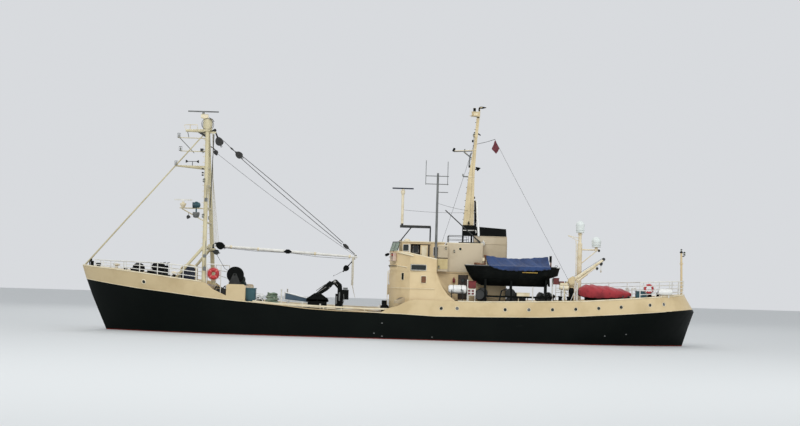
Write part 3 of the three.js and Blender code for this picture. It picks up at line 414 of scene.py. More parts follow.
class Shape:
    """Collects closed solids in one mesh."""

    def __init__(self):
        self.mesh = bmesh.new()

    def loft(self, rings, closed=False):
        """A skin over rows of points, with ends unless it closes on itself."""
        rows = [[self.mesh.verts.new(point) for point in ring] for ring in rings]
        count = len(rows[0])
        for one, two in zip(rows, rows[1:] + rows[:1] if closed else rows[1:]):
            for i in range(count):
                j = (i + 1) % count
                self.mesh.faces.new((one[i], one[j], two[j], two[i]))
        if not closed:
            self.mesh.faces.new(rows[0][::-1])
            self.mesh.faces.new(rows[-1])
        return self

    def tube(self, points, radius, sides=8, closed=False):
        path = [Vector(point) for point in points]
        sizes = radius if isinstance(radius, (list, tuple)) else [radius] * len(path)
        last = len(path) - 1
        along = []
        for i in range(len(path)):
            before = path[i - 1] if closed or i else path[0]
            after = path[(i + 1) % len(path)] if closed or i < last else path[last]
            along.append((after - before).normalized())
        across = along[0].orthogonal().normalized()
        rings = []
        for i, point in enumerate(path):
            across = (across - across.dot(along[i]) * along[i]).normalized()
            other = along[i].cross(across)
            rings.append([point + sizes[i] * (math.cos(t) * across + math.sin(t) * other)
                          for t in full_turn(sides)])
        return self.loft(rings, closed)

    def rods(self, pairs, radius, sides=8):
        for one, two in pairs:
            self.tube([one, two], radius, sides)
        return self

    def box(self, centre, size, turn=0.0, facing=None):
        """A block; facing, when given, is the direction that its local X looks in."""
        if facing is None:
            spin = Matrix.Rotation(turn, 4, "Z")
        else:
            spin = Vector(facing).to_track_quat("X", "Z").to_matrix().to_4x4()
        place = Matrix.Translation(centre) @ spin @ Matrix.Diagonal((*size, 1))
        bmesh.ops.create_cube(self.mesh, size=1, matrix=place)
        return self

    def turned(self, profile, at, axis=UP, sides=20, flat=1.0):
        """A profile of radius and height turned about an axis through a point; flat squashes it across."""
        spin = Matrix.Translation(at) @ Vector(axis).to_track_quat("Z", "Y").to_matrix().to_4x4()
        return self.loft([[spin @ Vector((r * math.cos(t), flat * r * math.sin(t), h))
                           for t in full_turn(sides)] for r, h in profile])

    def ring(self, at, axis, radius, thick, count=28, sides=8):
        return self.tube(circle(at, axis, radius, full_turn(count)), thick, sides, closed=True)

    def slab(self, outline, depth, place):
        """A flat outline, made solid along its own Z on both sides of it, then put in its place."""
        half = depth / 2
        return self.loft([[place @ Vector((a, b, h)) for a, b in outline] for h in (-half, half)])

    def piece(self, name, material, body=SHIP, bevel=0.0):
        """Makes the mesh an object that rides a body, or one that is left unattached when there is none."""
        bmesh.ops.recalc_face_normals(self.mesh, faces=self.mesh.faces)
        mesh = bpy.data.meshes.new(name)
        self.mesh.to_mesh(mesh)
        self.mesh.free()
        for face in mesh.polygons:
            face.use_smooth = True
        mesh.set_sharp_from_angle(angle=math.radians(38))
        mesh.materials.append(material)
        made = put_in_scene(name, mesh)
        if bevel:
            bevelled(made, bevel, 2)
        if body:
            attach(made, body)
        return made


# Rays start beyond the ship's side and above its decks
HULL_NODES = ("hull_bow", "hull_midship", "hull_stern", "forecastle", "poop")
OUTSIDE, ABOVE = 4.0, 6.0


def hit(nodes, start, towards):
    """The nearest point and normal where a ray meets one of some CAD nodes."""
    found = []
    for name in nodes:
        met, point, normal, _ = frame["nodes"][name].ray_cast(Vector(start), Vector(towards))
        if met:
            found.append(((point - Vector(start)).length, point, normal))
    if not found:
        return None
    return min(found, key=lambda row: row[0])[1:]


def skin(x, z, side=1, nodes=HULL_NODES):
    """The place and normal of a side, seen from outside."""
    return hit(nodes, (x, OUTSIDE * side, z), (0, -side, 0))


def top(x, y, *nodes):
    """The height of some solids, seen from above."""
    met = hit(nodes, (x, y, ABOVE), (0, 0, -1))
    return met[0].z if met else 0.0


def line_at(line, x):
    """The height of a line of x, z points at x."""
    rows = sorted(line)
    for (x0, z0), (x1, z1) in zip(rows, rows[1:]):
        if x0 <= x <= x1:
            return z0 + (z1 - z0) * (x - x0) / (x1 - x0)
    return rows[0][1] if x < rows[0][0] else rows[-1][1]


# Lines along the ship's side, x and z in metres, as in the CAD
COLOUR_LINE = [
    (-12.33, 1.497), (-12.073, 1.482), (-10.555, 1.350), (-9.144, 1.232), (-7.5, 1.110), (-5.994, 1.029),
    (-3.641, 0.975), (-1.860, 0.953), (-0.5, 1.007), (0.922, 1.020), (2.080, 1.041), (3.182, 1.090),
    (4.288, 1.199), (5.492, 1.292), (7.301, 1.439), (8.580, 1.578), (9.957, 1.716), (11.069, 1.859),
    (12.17, 2.013),
]
POOP_TOP = [(-11.935, 2.070), (-10.530, 1.939), (-9.125, 1.820), (-7.775, 1.710), (-5.975, 1.637),
            (-3.625, 1.560), (-2.70, 1.567)]
FORECASTLE_TOP = [(7.316, 2.039), (8.543, 2.172), (9.432, 2.280), (10.519, 2.402), (12.377, 2.570)]


def along_side(line, start, end, count, side, drop=0.02):
    """Points on the ship's side that follow a line, a little below it."""
    points = []
    for x in steps(start, end, count):
        z = line_at(line, x)
        met = skin(x, z - drop, side)
        if met:
            points.append(Vector((x, met[0].y, z)))
    return points


# Trim along the sides: moulding on the colour line and cap rails
edge = Shape()
for side in (1, -1):
    edge.tube(along_side(COLOUR_LINE, -12.30, 12.15, 90, side, -0.03), 0.012, 6)
edge.piece("colour_line_moulding", cream_pale)
caps = Shape()
for line, start, end, count in ((POOP_TOP, -2.75, -11.9, 50), (FORECASTLE_TOP, 7.33, 12.33, 40)):
    caps.tube(along_side(line, start, end, count, 1) + along_side(line, end, start, count, -1), 0.026, 8)
caps.piece("bulwark_cap_rails", cream_pale)

# Portholes with their rims, and the small plates along the sides
PORTHOLES = [(-2.109, 1.263), (-4.613, 1.286), (-6.467, 1.337), (-7.377, 1.384), (-8.277, 1.446),
             (-9.158, 1.515), (-10.311, 1.627)]
DEADLIGHTS = [(-2.733, 1.282), (-5.542, 1.310), (-10.887, 1.673)]
SIDE_PLATES = [(0.195, 0.622), (0.497, 0.220), (0.180, 0.112), (-1.782, 0.131), (-8.557, 0.371),
               (-9.414, 0.455)]
HAWSE = (9.643, 1.962)


def on_both_sides(places):
    for x, z in places:
        for side in (1, -1):
            met = skin(x, z, side)
            if met:
                yield met


rims, panes, lids, plates = Shape(), Shape(), Shape(), Shape()
for point, normal in on_both_sides(PORTHOLES + DEADLIGHTS):
    rims.ring(point + 0.004 * normal, normal, 0.074, 0.013)
    rims.tube([point + 0.03 * normal + Vector((dx, 0, 0.095 - abs(dx) * 0.5)) for dx in (-0.08, 0, 0.08)],
              0.007, 6)
for point, normal in on_both_sides(PORTHOLES):
    panes.turned([(0.070, -0.012), (0.070, 0.003), (0.055, 0.007)], point, normal, 24)
for point, normal in on_both_sides(DEADLIGHTS):
    lids.turned([(0.070, -0.012), (0.070, 0.006), (0.058, 0.014), (0.016, 0.016), (0.014, 0.030)],
                point, normal, 24)
for point, normal in on_both_sides(SIDE_PLATES):
    plates.turned([(0.034, -0.008), (0.034, 0.007), (0.028, 0.012)], point, normal, 10, 0.7)
for point, normal in on_both_sides([HAWSE]):
    rims.ring(point + 0.006 * normal, normal, 0.085, 0.020)
    panes.turned([(0.080, -0.012), (0.080, 0.004)], point, normal, 20)
rims.piece("porthole_rims", cream_pale)
panes.piece("porthole_glass", dark_glass)
lids.piece("porthole_deadlights", grey)
plates.piece("side_plates", grey)


# Rails on the forecastle, the poop and the break of the forecastle
def railing(name, feet, tops, bars=(0.34, 0.67), radius=0.015, paint=white):
    """A top rail, bars at some shares of its height, and a post under each point."""
    made = Shape().tube(tops, radius * 1.3, 8)
    for share in bars:
        made.tube([foot.lerp(head, share) for foot, head in zip(feet, tops)], radius, 6)
    made.rods(list(zip(feet, tops)), radius * 1.15)
    made.piece(name, paint)


def rail_on(line, rows, side):
    """Feet and tops of posts that stand on a bulwark, a little inside its face."""
    feet, tops = [], []
    for x, z in rows:
        foot = line_at(line, x)
        y = skin(x, foot - 0.03, side)[0].y - side * 0.035
        feet.append(Vector((x, y, foot - 0.02)))
        tops.append(Vector((x, y, z)))
    return feet, tops


BOW_RAIL = [(7.530, 2.590), (8.062, 2.645), (8.543, 2.675), (9.099, 2.725), (9.830, 2.745), (10.400, 2.755),
            (10.894, 2.765), (11.385, 2.775), (11.760, 2.790)]
STERN_RAIL = [(-6.95, 2.365), (-7.68, 2.395), (-8.40, 2.435), (-9.15, 2.470), (-9.90, 2.510),
              (-10.55, 2.540), (-11.15, 2.575), (-11.60, 2.600)]
for name, side in SIDES:
    railing("bow_rail_" + name, *rail_on(FORECASTLE_TOP, BOW_RAIL, side))
    railing("break_rail_" + name, [Vector((6.60, side * 1.78, 1.62)), Vector((7.16, side * 1.80, 1.95))],
            [Vector((6.60, side * 1.78, 2.72)), Vector((7.16, side * 1.80, 2.74))], (0.5, 0.75))
port_feet, port_tops = rail_on(POOP_TOP, STERN_RAIL[4:], 1)
star_feet, star_tops = rail_on(POOP_TOP, STERN_RAIL, -1)
corner = [(-11.82, 0.62, 2.615), (-11.88, 0.0, 2.62), (-11.82, -0.62, 2.615)]
railing("stern_rail", port_feet + [Vector((x + 0.03, y, 2.03)) for x, y, _ in corner] + star_feet[::-1],
        port_tops + [Vector(row) for row in corner] + star_tops[::-1], (0.25, 0.5, 0.75))


# Bollards, fairleads and the stem fittings
def bollards(name, places, height):
    """Pairs of posts with a pin through each, on a base plate."""
    made, reach = Shape(), 0.15
    for x, y, z in places:
        made.box((x, y, z + 0.012), (2 * reach + 0.22, 0.20, 0.03))
        for dx in (-reach, reach):
            made.turned([(0.058, 0.0), (0.054, height - 0.05), (0.072, height - 0.035), (0.074, height),
                         (0.050, height + 0.012)], (x + dx, y, z), UP, 18)
            made.rods([((x + dx, y - 0.10, z + height * 0.55), (x + dx, y + 0.10, z + height * 0.55))],
                      0.014)
    made.piece(name, black, bevel=0.004)


BOW_DECK, STERN_DECK, WELL = ("forecastle",), ("poop",), ("well_deck", "hull_midship", "hull_bow")
bollards("bollards_bow", [(x, s * y, top(x, s * y, *BOW_DECK)) for x, y in ((10.35, 0.85), (8.30, 1.62))
                          for s in (1, -1)], 0.24)
bollards("bollards_stern", [(x, s * y, top(x, s * y, *STERN_DECK))
                            for x, y in ((-10.55, 1.30), (-6.95, 1.85)) for s in (1, -1)], 0.22)
fairleads = Shape()
for x in (9.05, -9.35):
    line = FORECASTLE_TOP if x > 0 else POOP_TOP
    for side in (1, -1):
        z = line_at(line, x)
        y = skin(x, z - 0.03, side)[0].y - side * 0.07
        fairleads.box((x, y, z + 0.012), (0.34, 0.11, 0.025))
        for dx in (-0.13, 0.13):
            fairleads.tube([(x + dx, y, z + 0.02), (x + dx * 1.05, y, z + 0.09),
                            (x + dx * 0.45, y, z + 0.13)], [0.028, 0.026, 0.016], 8)
fairleads.piece("fairleads", dark)
stem = Shape()
stem.box((11.93, 0, 2.49), (0.34, 0.36, 0.10))
for dy in (-0.14, 0, 0.14):
    stem.turned([(0.052, 0.0), (0.036, 0.03), (0.034, 0.16), (0.052, 0.19), (0.030, 0.20)],
                (11.98, dy, 2.54), UP, 16)
stem.tube([(12.04, 0.17, 2.50), (12.06, 0.18, 2.68), (12.02, 0.06, 2.80), (12.02, -0.06, 2.80),
           (12.06, -0.18, 2.68), (12.04, -0.17, 2.50)], 0.026, 8)
for dy in (-0.14, 0.14):
    stem.turned([(0.07, 0.0), (0.05, 0.04), (0.05, 0.20), (0.09, 0.24), (0.06, 0.28)],
                (11.73, dy, 2.38), UP, 14)
stem.piece("stem_fittings", black, bevel=0.004)

# Chain from the windlass to its pipes, mushroom vents and a booby hatch on the forecastle
chain = Shape()
for side in (1, -1):
    start = Vector((9.50, side * 0.30, 2.42))
    finish = Vector((10.28, side * 0.42, top(10.28, side * 0.42, *BOW_DECK) + 0.06))
    along = (finish - start).normalized()
    links = 17
    for i in range(links):
        share = (i + 0.5) / links
        centre = start.lerp(finish, share) + Vector((0, 0, -0.05 * math.sin(math.pi * share)))
        over = UP if i % 2 else along.cross(UP).normalized()
        sideways = along.cross(over).normalized()
        path = [centre + 0.030 * math.cos(t) * along + 0.017 * math.sin(t) * sideways for t in full_turn(12)]
        chain.tube(path, 0.0065, 6, True)
    deck = top(10.33, side * 0.42, *BOW_DECK)
    chain.turned([(0.10, 0.0), (0.10, 0.03), (0.075, 0.09), (0.05, 0.09), (0.05, 0.0)],
                 (10.33, side * 0.42, deck - 0.01), (-0.3, 0, 1), 18)
chain.piece("anchor_chains", dark)
vents = Shape()
for x, y in ((10.95, 0.30), (8.55, -0.95), (8.55, 0.95)):
    deck = top(x, y, *BOW_DECK)
    vents.turned([(0.065, -0.02), (0.06, 0.02), (0.055, 0.26), (0.13, 0.27), (0.135, 0.31), (0.07, 0.36),
                  (0.02, 0.37)], (x, y, deck), UP, 20)
vents.piece("bow_vents", cream_pale)
booby = Shape()
HATCH_X = 8.62
deck = top(HATCH_X, 0.0, *BOW_DECK)
booby.box((HATCH_X, 0, deck + 0.07), (0.52, 0.52, 0.16))
booby.box((HATCH_X, 0, deck + 0.165), (0.58, 0.58, 0.035))
for dx in (-0.22, 0.22):
    for dy in (-0.28, 0.28):
        booby.turned([(0.012, 0), (0.012, 0.05), (0.024, 0.055), (0.020, 0.07)],
                     (HATCH_X + dx, dy, deck + 0.15), UP, 8)
booby.piece("bow_hatch", grey, bevel=0.006)

# Windlass gear cases with their brake wheels, and a mooring reel
bow_gear = Shape()
REEL_X = 10.16
for side in (1, -1):
    bow_gear.box((9.22, side * 0.60, 2.33), (0.46, 0.14, 0.62))
    bow_gear.turned(both_ends((0.20, 0.04), (0.17, 0.06)), (9.30, side * 0.60, 2.56), ACROSS, 26)
    bow_gear.turned([(0.11, -0.10), (0.12, 0.10)], (9.56, side * 0.60, 2.32), AHEAD, 20)
    bow_gear.ring((9.02, side * 0.60, 2.74), (0.3, 0, 1), 0.085, 0.012, 22, 6)
    bow_gear.rods([((9.02, side * 0.60, 2.74), (9.06, side * 0.60, 2.58))], 0.014)
for y in (-0.62, -0.14):
    deck = top(REEL_X, y, *BOW_DECK)
    bow_gear.turned(both_ends((0.21, 0.015), middle=0.22), (REEL_X, y, deck + 0.26), ACROSS, 28)
    bow_gear.slab([(-0.18, 0.0), (0.18, 0.0), (0.05, 0.30), (-0.05, 0.30)], 0.03,
                  upright((REEL_X, y - 0.04, deck)))
bow_gear.turned([(0.15, -0.23), (0.16, -0.10), (0.15, 0.02), (0.17, 0.12), (0.15, 0.23)],
                (REEL_X, -0.38, deck + 0.26), ACROSS, 22)
bow_gear.piece("bow_gear", black, bevel=0.004)

# Cabinets, vent posts, pipes and valve wheels at the break of the forecastle
break_gear = Shape()
for side in (1, -1):
    break_gear.box((6.60, side * 1.50, 1.34), (0.30, 0.34, 0.80))
    break_gear.box((6.60, side * 1.50, 1.755), (0.34, 0.38, 0.03))
    break_gear.turned([(0.11, 0), (0.11, 0.62), (0.14, 0.64), (0.14, 0.68), (0.06, 0.74)],
                      (6.88, side * 1.56, 1.0), UP, 20)
    break_gear.tube([(6.44, side * 1.66, 1.0), (6.44, side * 1.66, 1.72), (6.50, side * 1.60, 1.80),
                     (6.78, side * 1.60, 1.84), (6.88, side * 1.56, 1.72)], 0.026, 8)
    break_gear.ring((6.74, side * 1.70, 1.80), (0.3, 1, 0.2), 0.085, 0.012, 20, 6)
    break_gear.rods([((6.74, side * 1.70, 1.80), (6.74, side * 1.55, 1.76))], 0.012)
break_gear.piece("break_gear", dark, bevel=0.005)

# Lifebuoys with their white bands
def lifebuoy(name, at, axis, radius, thick, bands_paint=moulding):
    Shape().ring(at, axis, radius, thick, 36, 12).piece(name, red)
    bands = Shape()
    for quarter in range(4):
        middle = math.pi / 4 + quarter * math.pi / 2
        bands.tube(circle(at, axis, radius, steps(middle - 0.12, middle + 0.12, 5)), thick * 1.04, 12)
    rope_path = []
    for t in full_turn(48):
        swing = radius + thick + 0.008 + 0.02 * abs(math.sin(2 * (t - math.pi / 4)))
        rope_path += circle(at, axis, swing, [t])
    bands.tube(rope_path, 0.006, 6, True)
    bands.piece(name + "_bands", bands_paint)


lifebuoy("lifebuoy_fore", (6.887, 1.845, 2.360), ACROSS, 0.152, 0.082, faded_red)
lifebuoy("lifebuoy_aft", (-10.296, 1.62, 2.270), (0.05, 1, 0), 0.150, 0.045)

# Hooded locker: white arched rims and a ribbed door
hood_line = [(-0.30, 0.02), (-0.30, 0.565), (-0.205, 0.672), (0, 0.733), (0.205, 0.672),
             (0.30, 0.565), (0.30, 0.02)]
LOCKER_X, LOCKER_Z = 7.976, 1.96


def hood_point(x, y, z, grown):
    """A point of the hood's outline, grown from its foot."""
    return (LOCKER_X + x * grown, y, LOCKER_Z + 0.02 + (z - 0.02) * grown)


arches = Shape()
for y in (0.455, 1.045):
    arches.tube([(LOCKER_X + x, y, LOCKER_Z + z) for x, z in hood_line], 0.022, 8)
arches.loft([[hood_point(x, 0.44, z, 1.015), hood_point(x, 1.06, z, 1.015),
              hood_point(x, 1.06, z, 1.06), hood_point(x, 0.44, z, 1.06)] for x, z in hood_line[1:-1]])
arches.piece("bow_locker_trim", cream_pale)
door = Shape().box((LOCKER_X, 1.056, 2.26), (0.40, 0.014, 0.46))
for z in (2.10, 2.20, 2.30, 2.40):
    door.box((LOCKER_X, 1.068, z), (0.34, 0.014, 0.03))
door.turned([(0.016, 0), (0.016, 0.03), (0.028, 0.035), (0.02, 0.05)], (8.13, 1.06, 2.27), ACROSS, 12)
door.piece("bow_locker_door", navy_paint, bevel=0.003)

# Foremast: rungs on its legs, guard rings, lamps, brackets and a searchlight
MAST_FOOT, MAST_HEAD = Vector((7.26, 1.85, 1.88)), Vector((7.50, 0.11, 8.18))


def on_leg(z, side=1):
    share = (z - MAST_FOOT.z) / (MAST_HEAD.z - MAST_FOOT.z)
    point = MAST_FOOT.lerp(MAST_HEAD, share)
    return Vector((point.x, side * point.y, z))


ladder = Shape()
out = 0.095
for side in (1, -1):
    for z in steps(2.6, 8.0, 24):
        at = on_leg(z, side)
        ladder.tube([at + Vector((out * 0.6, -0.075, 0)), at + Vector((out + 0.05, -0.07, 0)),
                     at + Vector((out + 0.05, 0.07, 0)), at + Vector((out * 0.6, 0.075, 0))], 0.007, 6)
ladder.piece("mast_rungs", cream_pale)
guards = Shape()
for side in (1, -1):
    guards.ring((7.515, side * 0.19, 8.40), ACROSS, 0.225, 0.009, 36, 6)
guards.tube([(7.44, 0.16, 8.66), (7.30, 0.17, 8.58), (7.24, 0.17, 8.50)], 0.014, 8)
guards.rods([((7.515, s * 0.19, z), (7.515, s * 0.05, z + dz)) for s in (1, -1)
             for z, dz in ((8.625, -0.01), (8.175, 0.02))], 0.010)
guards.slab([(0.0, 0.0), (0.34, 0.0), (0.0, -0.20)], 0.016, upright((7.56, 0.06, 8.06)))
guards.piece("mast_head_guards", dark)
arm_rail = Shape()
arm_rail.tube([(7.93, 0.10, 8.14), (7.92, 0.10, 8.37), (8.40, 0.05, 8.36), (8.47, 0, 8.34),
               (8.40, -0.05, 8.36), (7.92, -0.10, 8.37), (7.93, -0.10, 8.14)], 0.009, 6)
arm_rail.rods([((8.22, s * 0.07, 8.36), (8.22, s * 0.04, 8.14)) for s in (1, -1)]
              + [((8.47, 0, 8.34), (8.38, 0, 8.14))], 0.008)
arm_rail.piece("mast_arm_rail", cream_pale)


def lamp(shape, glass, at, size, drop=False):
    """A navigation lamp: base, lens and cap; a dropped one hangs from its base."""
    way = Vector((0, 0, -1)) if drop else UP
    shape.turned([(0.045 * size, 0), (0.045 * size, 0.03 * size), (0.036 * size, 0.04 * size)], at, way, 16)
    glass.turned([(0.036 * size, 0.035 * size), (0.043 * size, 0.07 * size), (0.036 * size, 0.11 * size)],
                 at, way, 16)
    shape.turned([(0.044 * size, 0.105 * size), (0.048 * size, 0.12 * size), (0.02 * size, 0.15 * size)], at,
                 way, 16)


CAGE = 0.062
lamps, lenses, brackets = Shape(), Shape(), Shape()
for x, z in ((8.66, 7.84), (8.58, 7.30), (8.74, 6.71)):
    lamp(lamps, lenses, (x, 0, z), 0.8)
    for turn in full_turn(4):
        around = Vector((CAGE * math.cos(turn), CAGE * math.sin(turn), 0))
        lamps.tube([Vector((x, 0, z)) + around, Vector((x, 0, z + 0.17)) + around], 0.006, 6)
    for dz in (0.17, 0.005):
        lamps.ring((x, 0, z + dz), UP, CAGE, 0.007, 18, 6)
lamps.rods([((8.62, 0, 7.82), (8.02, 0, 7.22)), ((8.32, 0, 8.10), (8.26, 0, 7.86))], 0.016)
brackets.tube([(7.85, 0, 6.885), (8.32, 0, 6.875)], 0.012, 8)
for x, way in ((7.85, 1), (8.32, -1)):
    brackets.turned([(0.062, -0.01), (0.056, 0.02), (0.018, 0.08)], (x - way * 0.02, 0, 6.88),
                    (way, 0, 0), 16)
brackets.rods([((8.08, 0, 6.70), (8.08, 0, 6.88))], 0.014)
brackets.box((7.72, 0.0, 7.36), (0.10, 0.16, 0.10))
brackets.tube([(7.70, 0.05, 7.24), (7.63, 0.05, 7.24), (7.63, 0.05, 7.40), (7.70, 0.05, 7.40)], 0.014, 6)
for z in (6.30, 6.40, 6.56):
    at = on_leg(z) + Vector((0.10, 0.02, 0))
    brackets.rods([(at, at + Vector((0.05, 0.02, 0)))], 0.018)
    brackets.box(at + Vector((0.055, 0.02, 0)), (0.055, 0.05, 0.06))
for z in (6.15, 4.72):
    for side in (1, -1):
        at = on_leg(z, side)
        brackets.rods([(at, at + Vector((0.09, side * 0.12, 0)))], 0.014)
        lamp(lamps, lenses, at + Vector((0.09, side * 0.12, -0.01)), 0.9, True)
brackets.rods([((8.16, 0, 4.82), (8.16, 0, 4.68))], 0.010)
brackets.turned([(0.03, 0), (0.07, 0.04), (0.085, 0.12), (0.06, 0.135)], (8.21, 0, 4.69), (-0.6, 0, -1), 18)
lamps.piece("mast_lamps", grey)
lenses.piece("mast_lamp_lenses", lens)
brackets.piece("mast_brackets", dark, bevel=0.003)
mast_gear = Shape()
mast_gear.turned([(0.045, -0.02), (0.09, 0.06), (0.13, 0.13), (0.13, 0.17), (0.06, 0.19), (0.05, 0.22)],
                 (8.40, 0, 5.00), UP, 20)
mast_gear.box((7.645, 0, 8.72), (0.30, 0.15, 0.11))
mast_gear.turned([(0.115, 0), (0.125, 0.015), (0.125, 0.04), (0.10, 0.05)], (7.60, 0, 8.615), UP, 20)
mast_gear.piece("scanner_gearboxes", cream_pale, bevel=0.008)
LIGHT_X = 7.86
searchlight = Shape()
searchlight.rods([((LIGHT_X, 0, 4.78), (LIGHT_X, 0, 5.03))], 0.030)
searchlight.tube([(LIGHT_X, -0.14, 5.11), (LIGHT_X, -0.15, 5.02), (LIGHT_X, 0.15, 5.02),
                  (LIGHT_X, 0.14, 5.11)], 0.014, 8)
searchlight.turned([(0.05, -0.16), (0.10, -0.13), (0.115, -0.04), (0.115, 0.12), (0.125, 0.12),
                    (0.125, 0.15), (0.105, 0.15)], (LIGHT_X, 0, 5.115), (1, 0, -0.04), 22)
searchlight.turned([(0.13, -0.05), (0.10, 0.02), (0.03, 0.060)], (LIGHT_X, 0, 5.20), UP, 18)
searchlight.rods([((LIGHT_X, -0.16, 5.11), (LIGHT_X, 0.16, 5.11))], 0.016)
searchlight.piece("searchlight", teal)
glass = Shape().turned([(0.105, 0.138), (0.09, 0.146), (0.05, 0.150)], (LIGHT_X, 0, 5.115),
                       (1, 0, -0.04), 22)
glass.piece("searchlight_glass", lens)
mount = Shape()
mount.turned([(0.05, -0.12), (0.11, -0.10), (0.145, 0.02), (0.145, 0.07), (0.10, 0.09)],
             (LIGHT_X, 0, 4.72), UP, 22)
mount.box((LIGHT_X, 0, 4.815), (0.26, 0.12, 0.03))
mount.piece("searchlight_mount", grey, bevel=0.004)
junctions = Shape()
for z, size in ((2.55, 0.16), (3.05, 0.12), (5.30, 0.14)):
    at = on_leg(z)
    junctions.box(at + Vector((-0.02, 0.085, 0)), (0.12, 0.06, size))
    junctions.tube([at + Vector((-0.02, 0.09, size / 2)), at + Vector((-0.04, 0.075, size)),
                    on_leg(z + 0.6) + Vector((-0.045, 0.07, 0))], 0.009, 6)
junctions.piece("mast_boxes", grey, bevel=0.004)


# Derrick rigging: blocks, wires and hook. The hook gear, bands and pennant ride the boom and the heel bar
# rides the heel; the topping lift and the falls are left unattached
def block_shape(shape, at, along, size, half):
    """A pulley block: two cheek plates with a sheave between them, its pin and its shackle."""
    along = Vector(along).normalized()
    over = along.cross(ACROSS).normalized()
    place = Matrix.Translation(at) @ turned_to(along, over, ACROSS)
    oval = [(size * (0.56 * math.cos(t) - 0.05 * math.cos(2 * t)), size * 0.50 * math.sin(t))
            for t in full_turn(24)]
    for side in (-1, 1):
        shape.slab(oval, half * 0.3, place @ Matrix.Translation((0, 0, side * half)))
    shape.turned(both_ends((size * 0.36, half * 0.7), middle=size * 0.30), at, ACROSS, 20)
    shape.turned([(size * 0.08, -half * 1.5), (size * 0.08, half * 1.5)], at, ACROSS, 10)
    for end in (-1, 1):
        shape.ring(Vector(at) + along * size * 0.66 * end, ACROSS, size * 0.10, size * 0.035, 14, 6)


LINK, BIG, LOWER = Vector((7.218, 0, 8.163)), Vector((7.019, 0, 7.712)), Vector((7.143, 0, 7.271))
TURNBUCKLE, LIFT = Vector((6.494, 0, 7.432)), Vector((6.213, 0, 7.205))
NEAR_TIP, TIP = Vector((1.66, 0, 3.54)), Vector((1.29, 0, 3.205))
LINE_START = Vector((6.86, 0, 7.765))
rig = Shape()
rig.tube([(7.38, 0, 8.10), (7.28, 0, 8.16), LINK, LINK.lerp(BIG, 0.28), LINK.lerp(BIG, 0.62)], 0.034, 8)
rig.ring(LINK, ACROSS, 0.05, 0.020, 16, 8)
block_shape(rig, BIG, BIG - LINK, 0.31, 0.09)
rig.turned(both_ends((0.145, 0.07), middle=0.150), BIG, ACROSS, 26)
fall = (NEAR_TIP - LINE_START).normalized()
side_step = ACROSS.cross(fall)
rig.tube([LINE_START, TURNBUCKLE - fall * 0.06], 0.011, 6)
rig.tube([TURNBUCKLE - fall * 0.10, TURNBUCKLE - fall * 0.02, TURNBUCKLE + fall * 0.10],
         [0.016, 0.034, 0.016], 8)
rig.tube([TURNBUCKLE + fall * 0.08, LIFT], 0.015, 6)
block_shape(rig, LIFT + fall * 0.02, fall, 0.27, 0.06)
rig.turned(both_ends((0.085, 0.045), middle=0.09), LIFT + fall * 0.04, ACROSS, 22)
rig.slab([(-0.17, 0), (-0.06, 0.075), (0.08, 0.065), (0.19, 0), (0.08, -0.065), (-0.06, -0.075)],
         0.08, Matrix.Translation(NEAR_TIP - fall * 0.13 + Vector((0, 0.04, 0)))
         @ turned_to(fall, side_step, fall.cross(side_step)))
spread = [(0.0, 0.050), (0.35, 0.082), (0.8, 0.070), (1.0, 0.040)]
for side in (-1, 1):
    path = []
    for t in steps(0, 1, 22):
        on_line = LIFT.lerp(NEAR_TIP - fall * 0.26, 0.02 + 0.97 * t)
        path.append(on_line + side_step * side * line_at(spread, t) + Vector((0, 0.03 * side, 0)))
    rig.tube(path, 0.0135, 6)
rig.tube([NEAR_TIP - fall * 0.12, NEAR_TIP, TIP + Vector((0.03, 0, 0.05))], 0.016, 8)
rig.tube([(7.36, 0, 7.50), (7.24, 0, 7.44), LOWER + Vector((0.02, 0, 0.06))], 0.022, 6)
block_shape(rig, LOWER, (0.3, 0, 1), 0.18, 0.045)
rig.turned(both_ends((0.085, 0.03), middle=0.09), LOWER, ACROSS, 20)
rig.tube([LOWER.lerp(TIP, t) + Vector((0, 0.03, -0.10 * math.sin(math.pi * t)))
          for t in steps(0.012, 0.99, 26)], 0.007, 6)
rig.piece("topping_lift", rope, None)
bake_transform(bpy.data.objects["topping_lift"], "derrick_heel", "derrick_boom", tuple(BIG), tuple(TIP))

falls = Shape()
FALL_FEET = [(6.92, -0.13, 3.63), (6.98, -0.13, 3.60), (7.03, -0.13, 3.58), (7.08, -0.13, 3.56)]
for k, foot in enumerate(FALL_FEET):
    falls.tube([(7.30 - 0.012 * k, 0.06 - 0.03 * k, 8.02), (7.215 + 0.012 * k, 0.02 - 0.02 * k, 6.2), foot],
               0.0075, 6)
falls.piece("mast_falls", fibre, None)
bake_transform(bpy.data.objects["mast_falls"])
heel_bar = Shape().rods([((6.91, -0.13, 3.64), (7.12, -0.112, 3.557)),
                         ((7.12, -0.05, 3.557), (7.12, -0.112, 3.557)),
                         ((7.12, -0.01, 3.535), (7.12, -0.05, 3.557))], 0.014)
heel_bar.piece("derrick_heel_bar", black, "derrick_heel")
leads = Shape()
block_shape(leads, (6.98, 0.12, 3.235), (-1, 0, -0.25), 0.21, 0.045)
leads.rods([((7.20, 0.12, 3.27), (7.08, 0.12, 3.255))], 0.018)
leads.tube([(7.24, 0.03, 8.0), (7.27, 0.03, 6.4), (7.30, 0.05, 5.0)], 0.018, 6)
leads.tube([(6.96, 0.12, 3.14), (6.62, 0.06, 2.58), (6.12, 0.0, 2.32)], 0.009, 6)
leads.piece("mast_lead_blocks", dark)

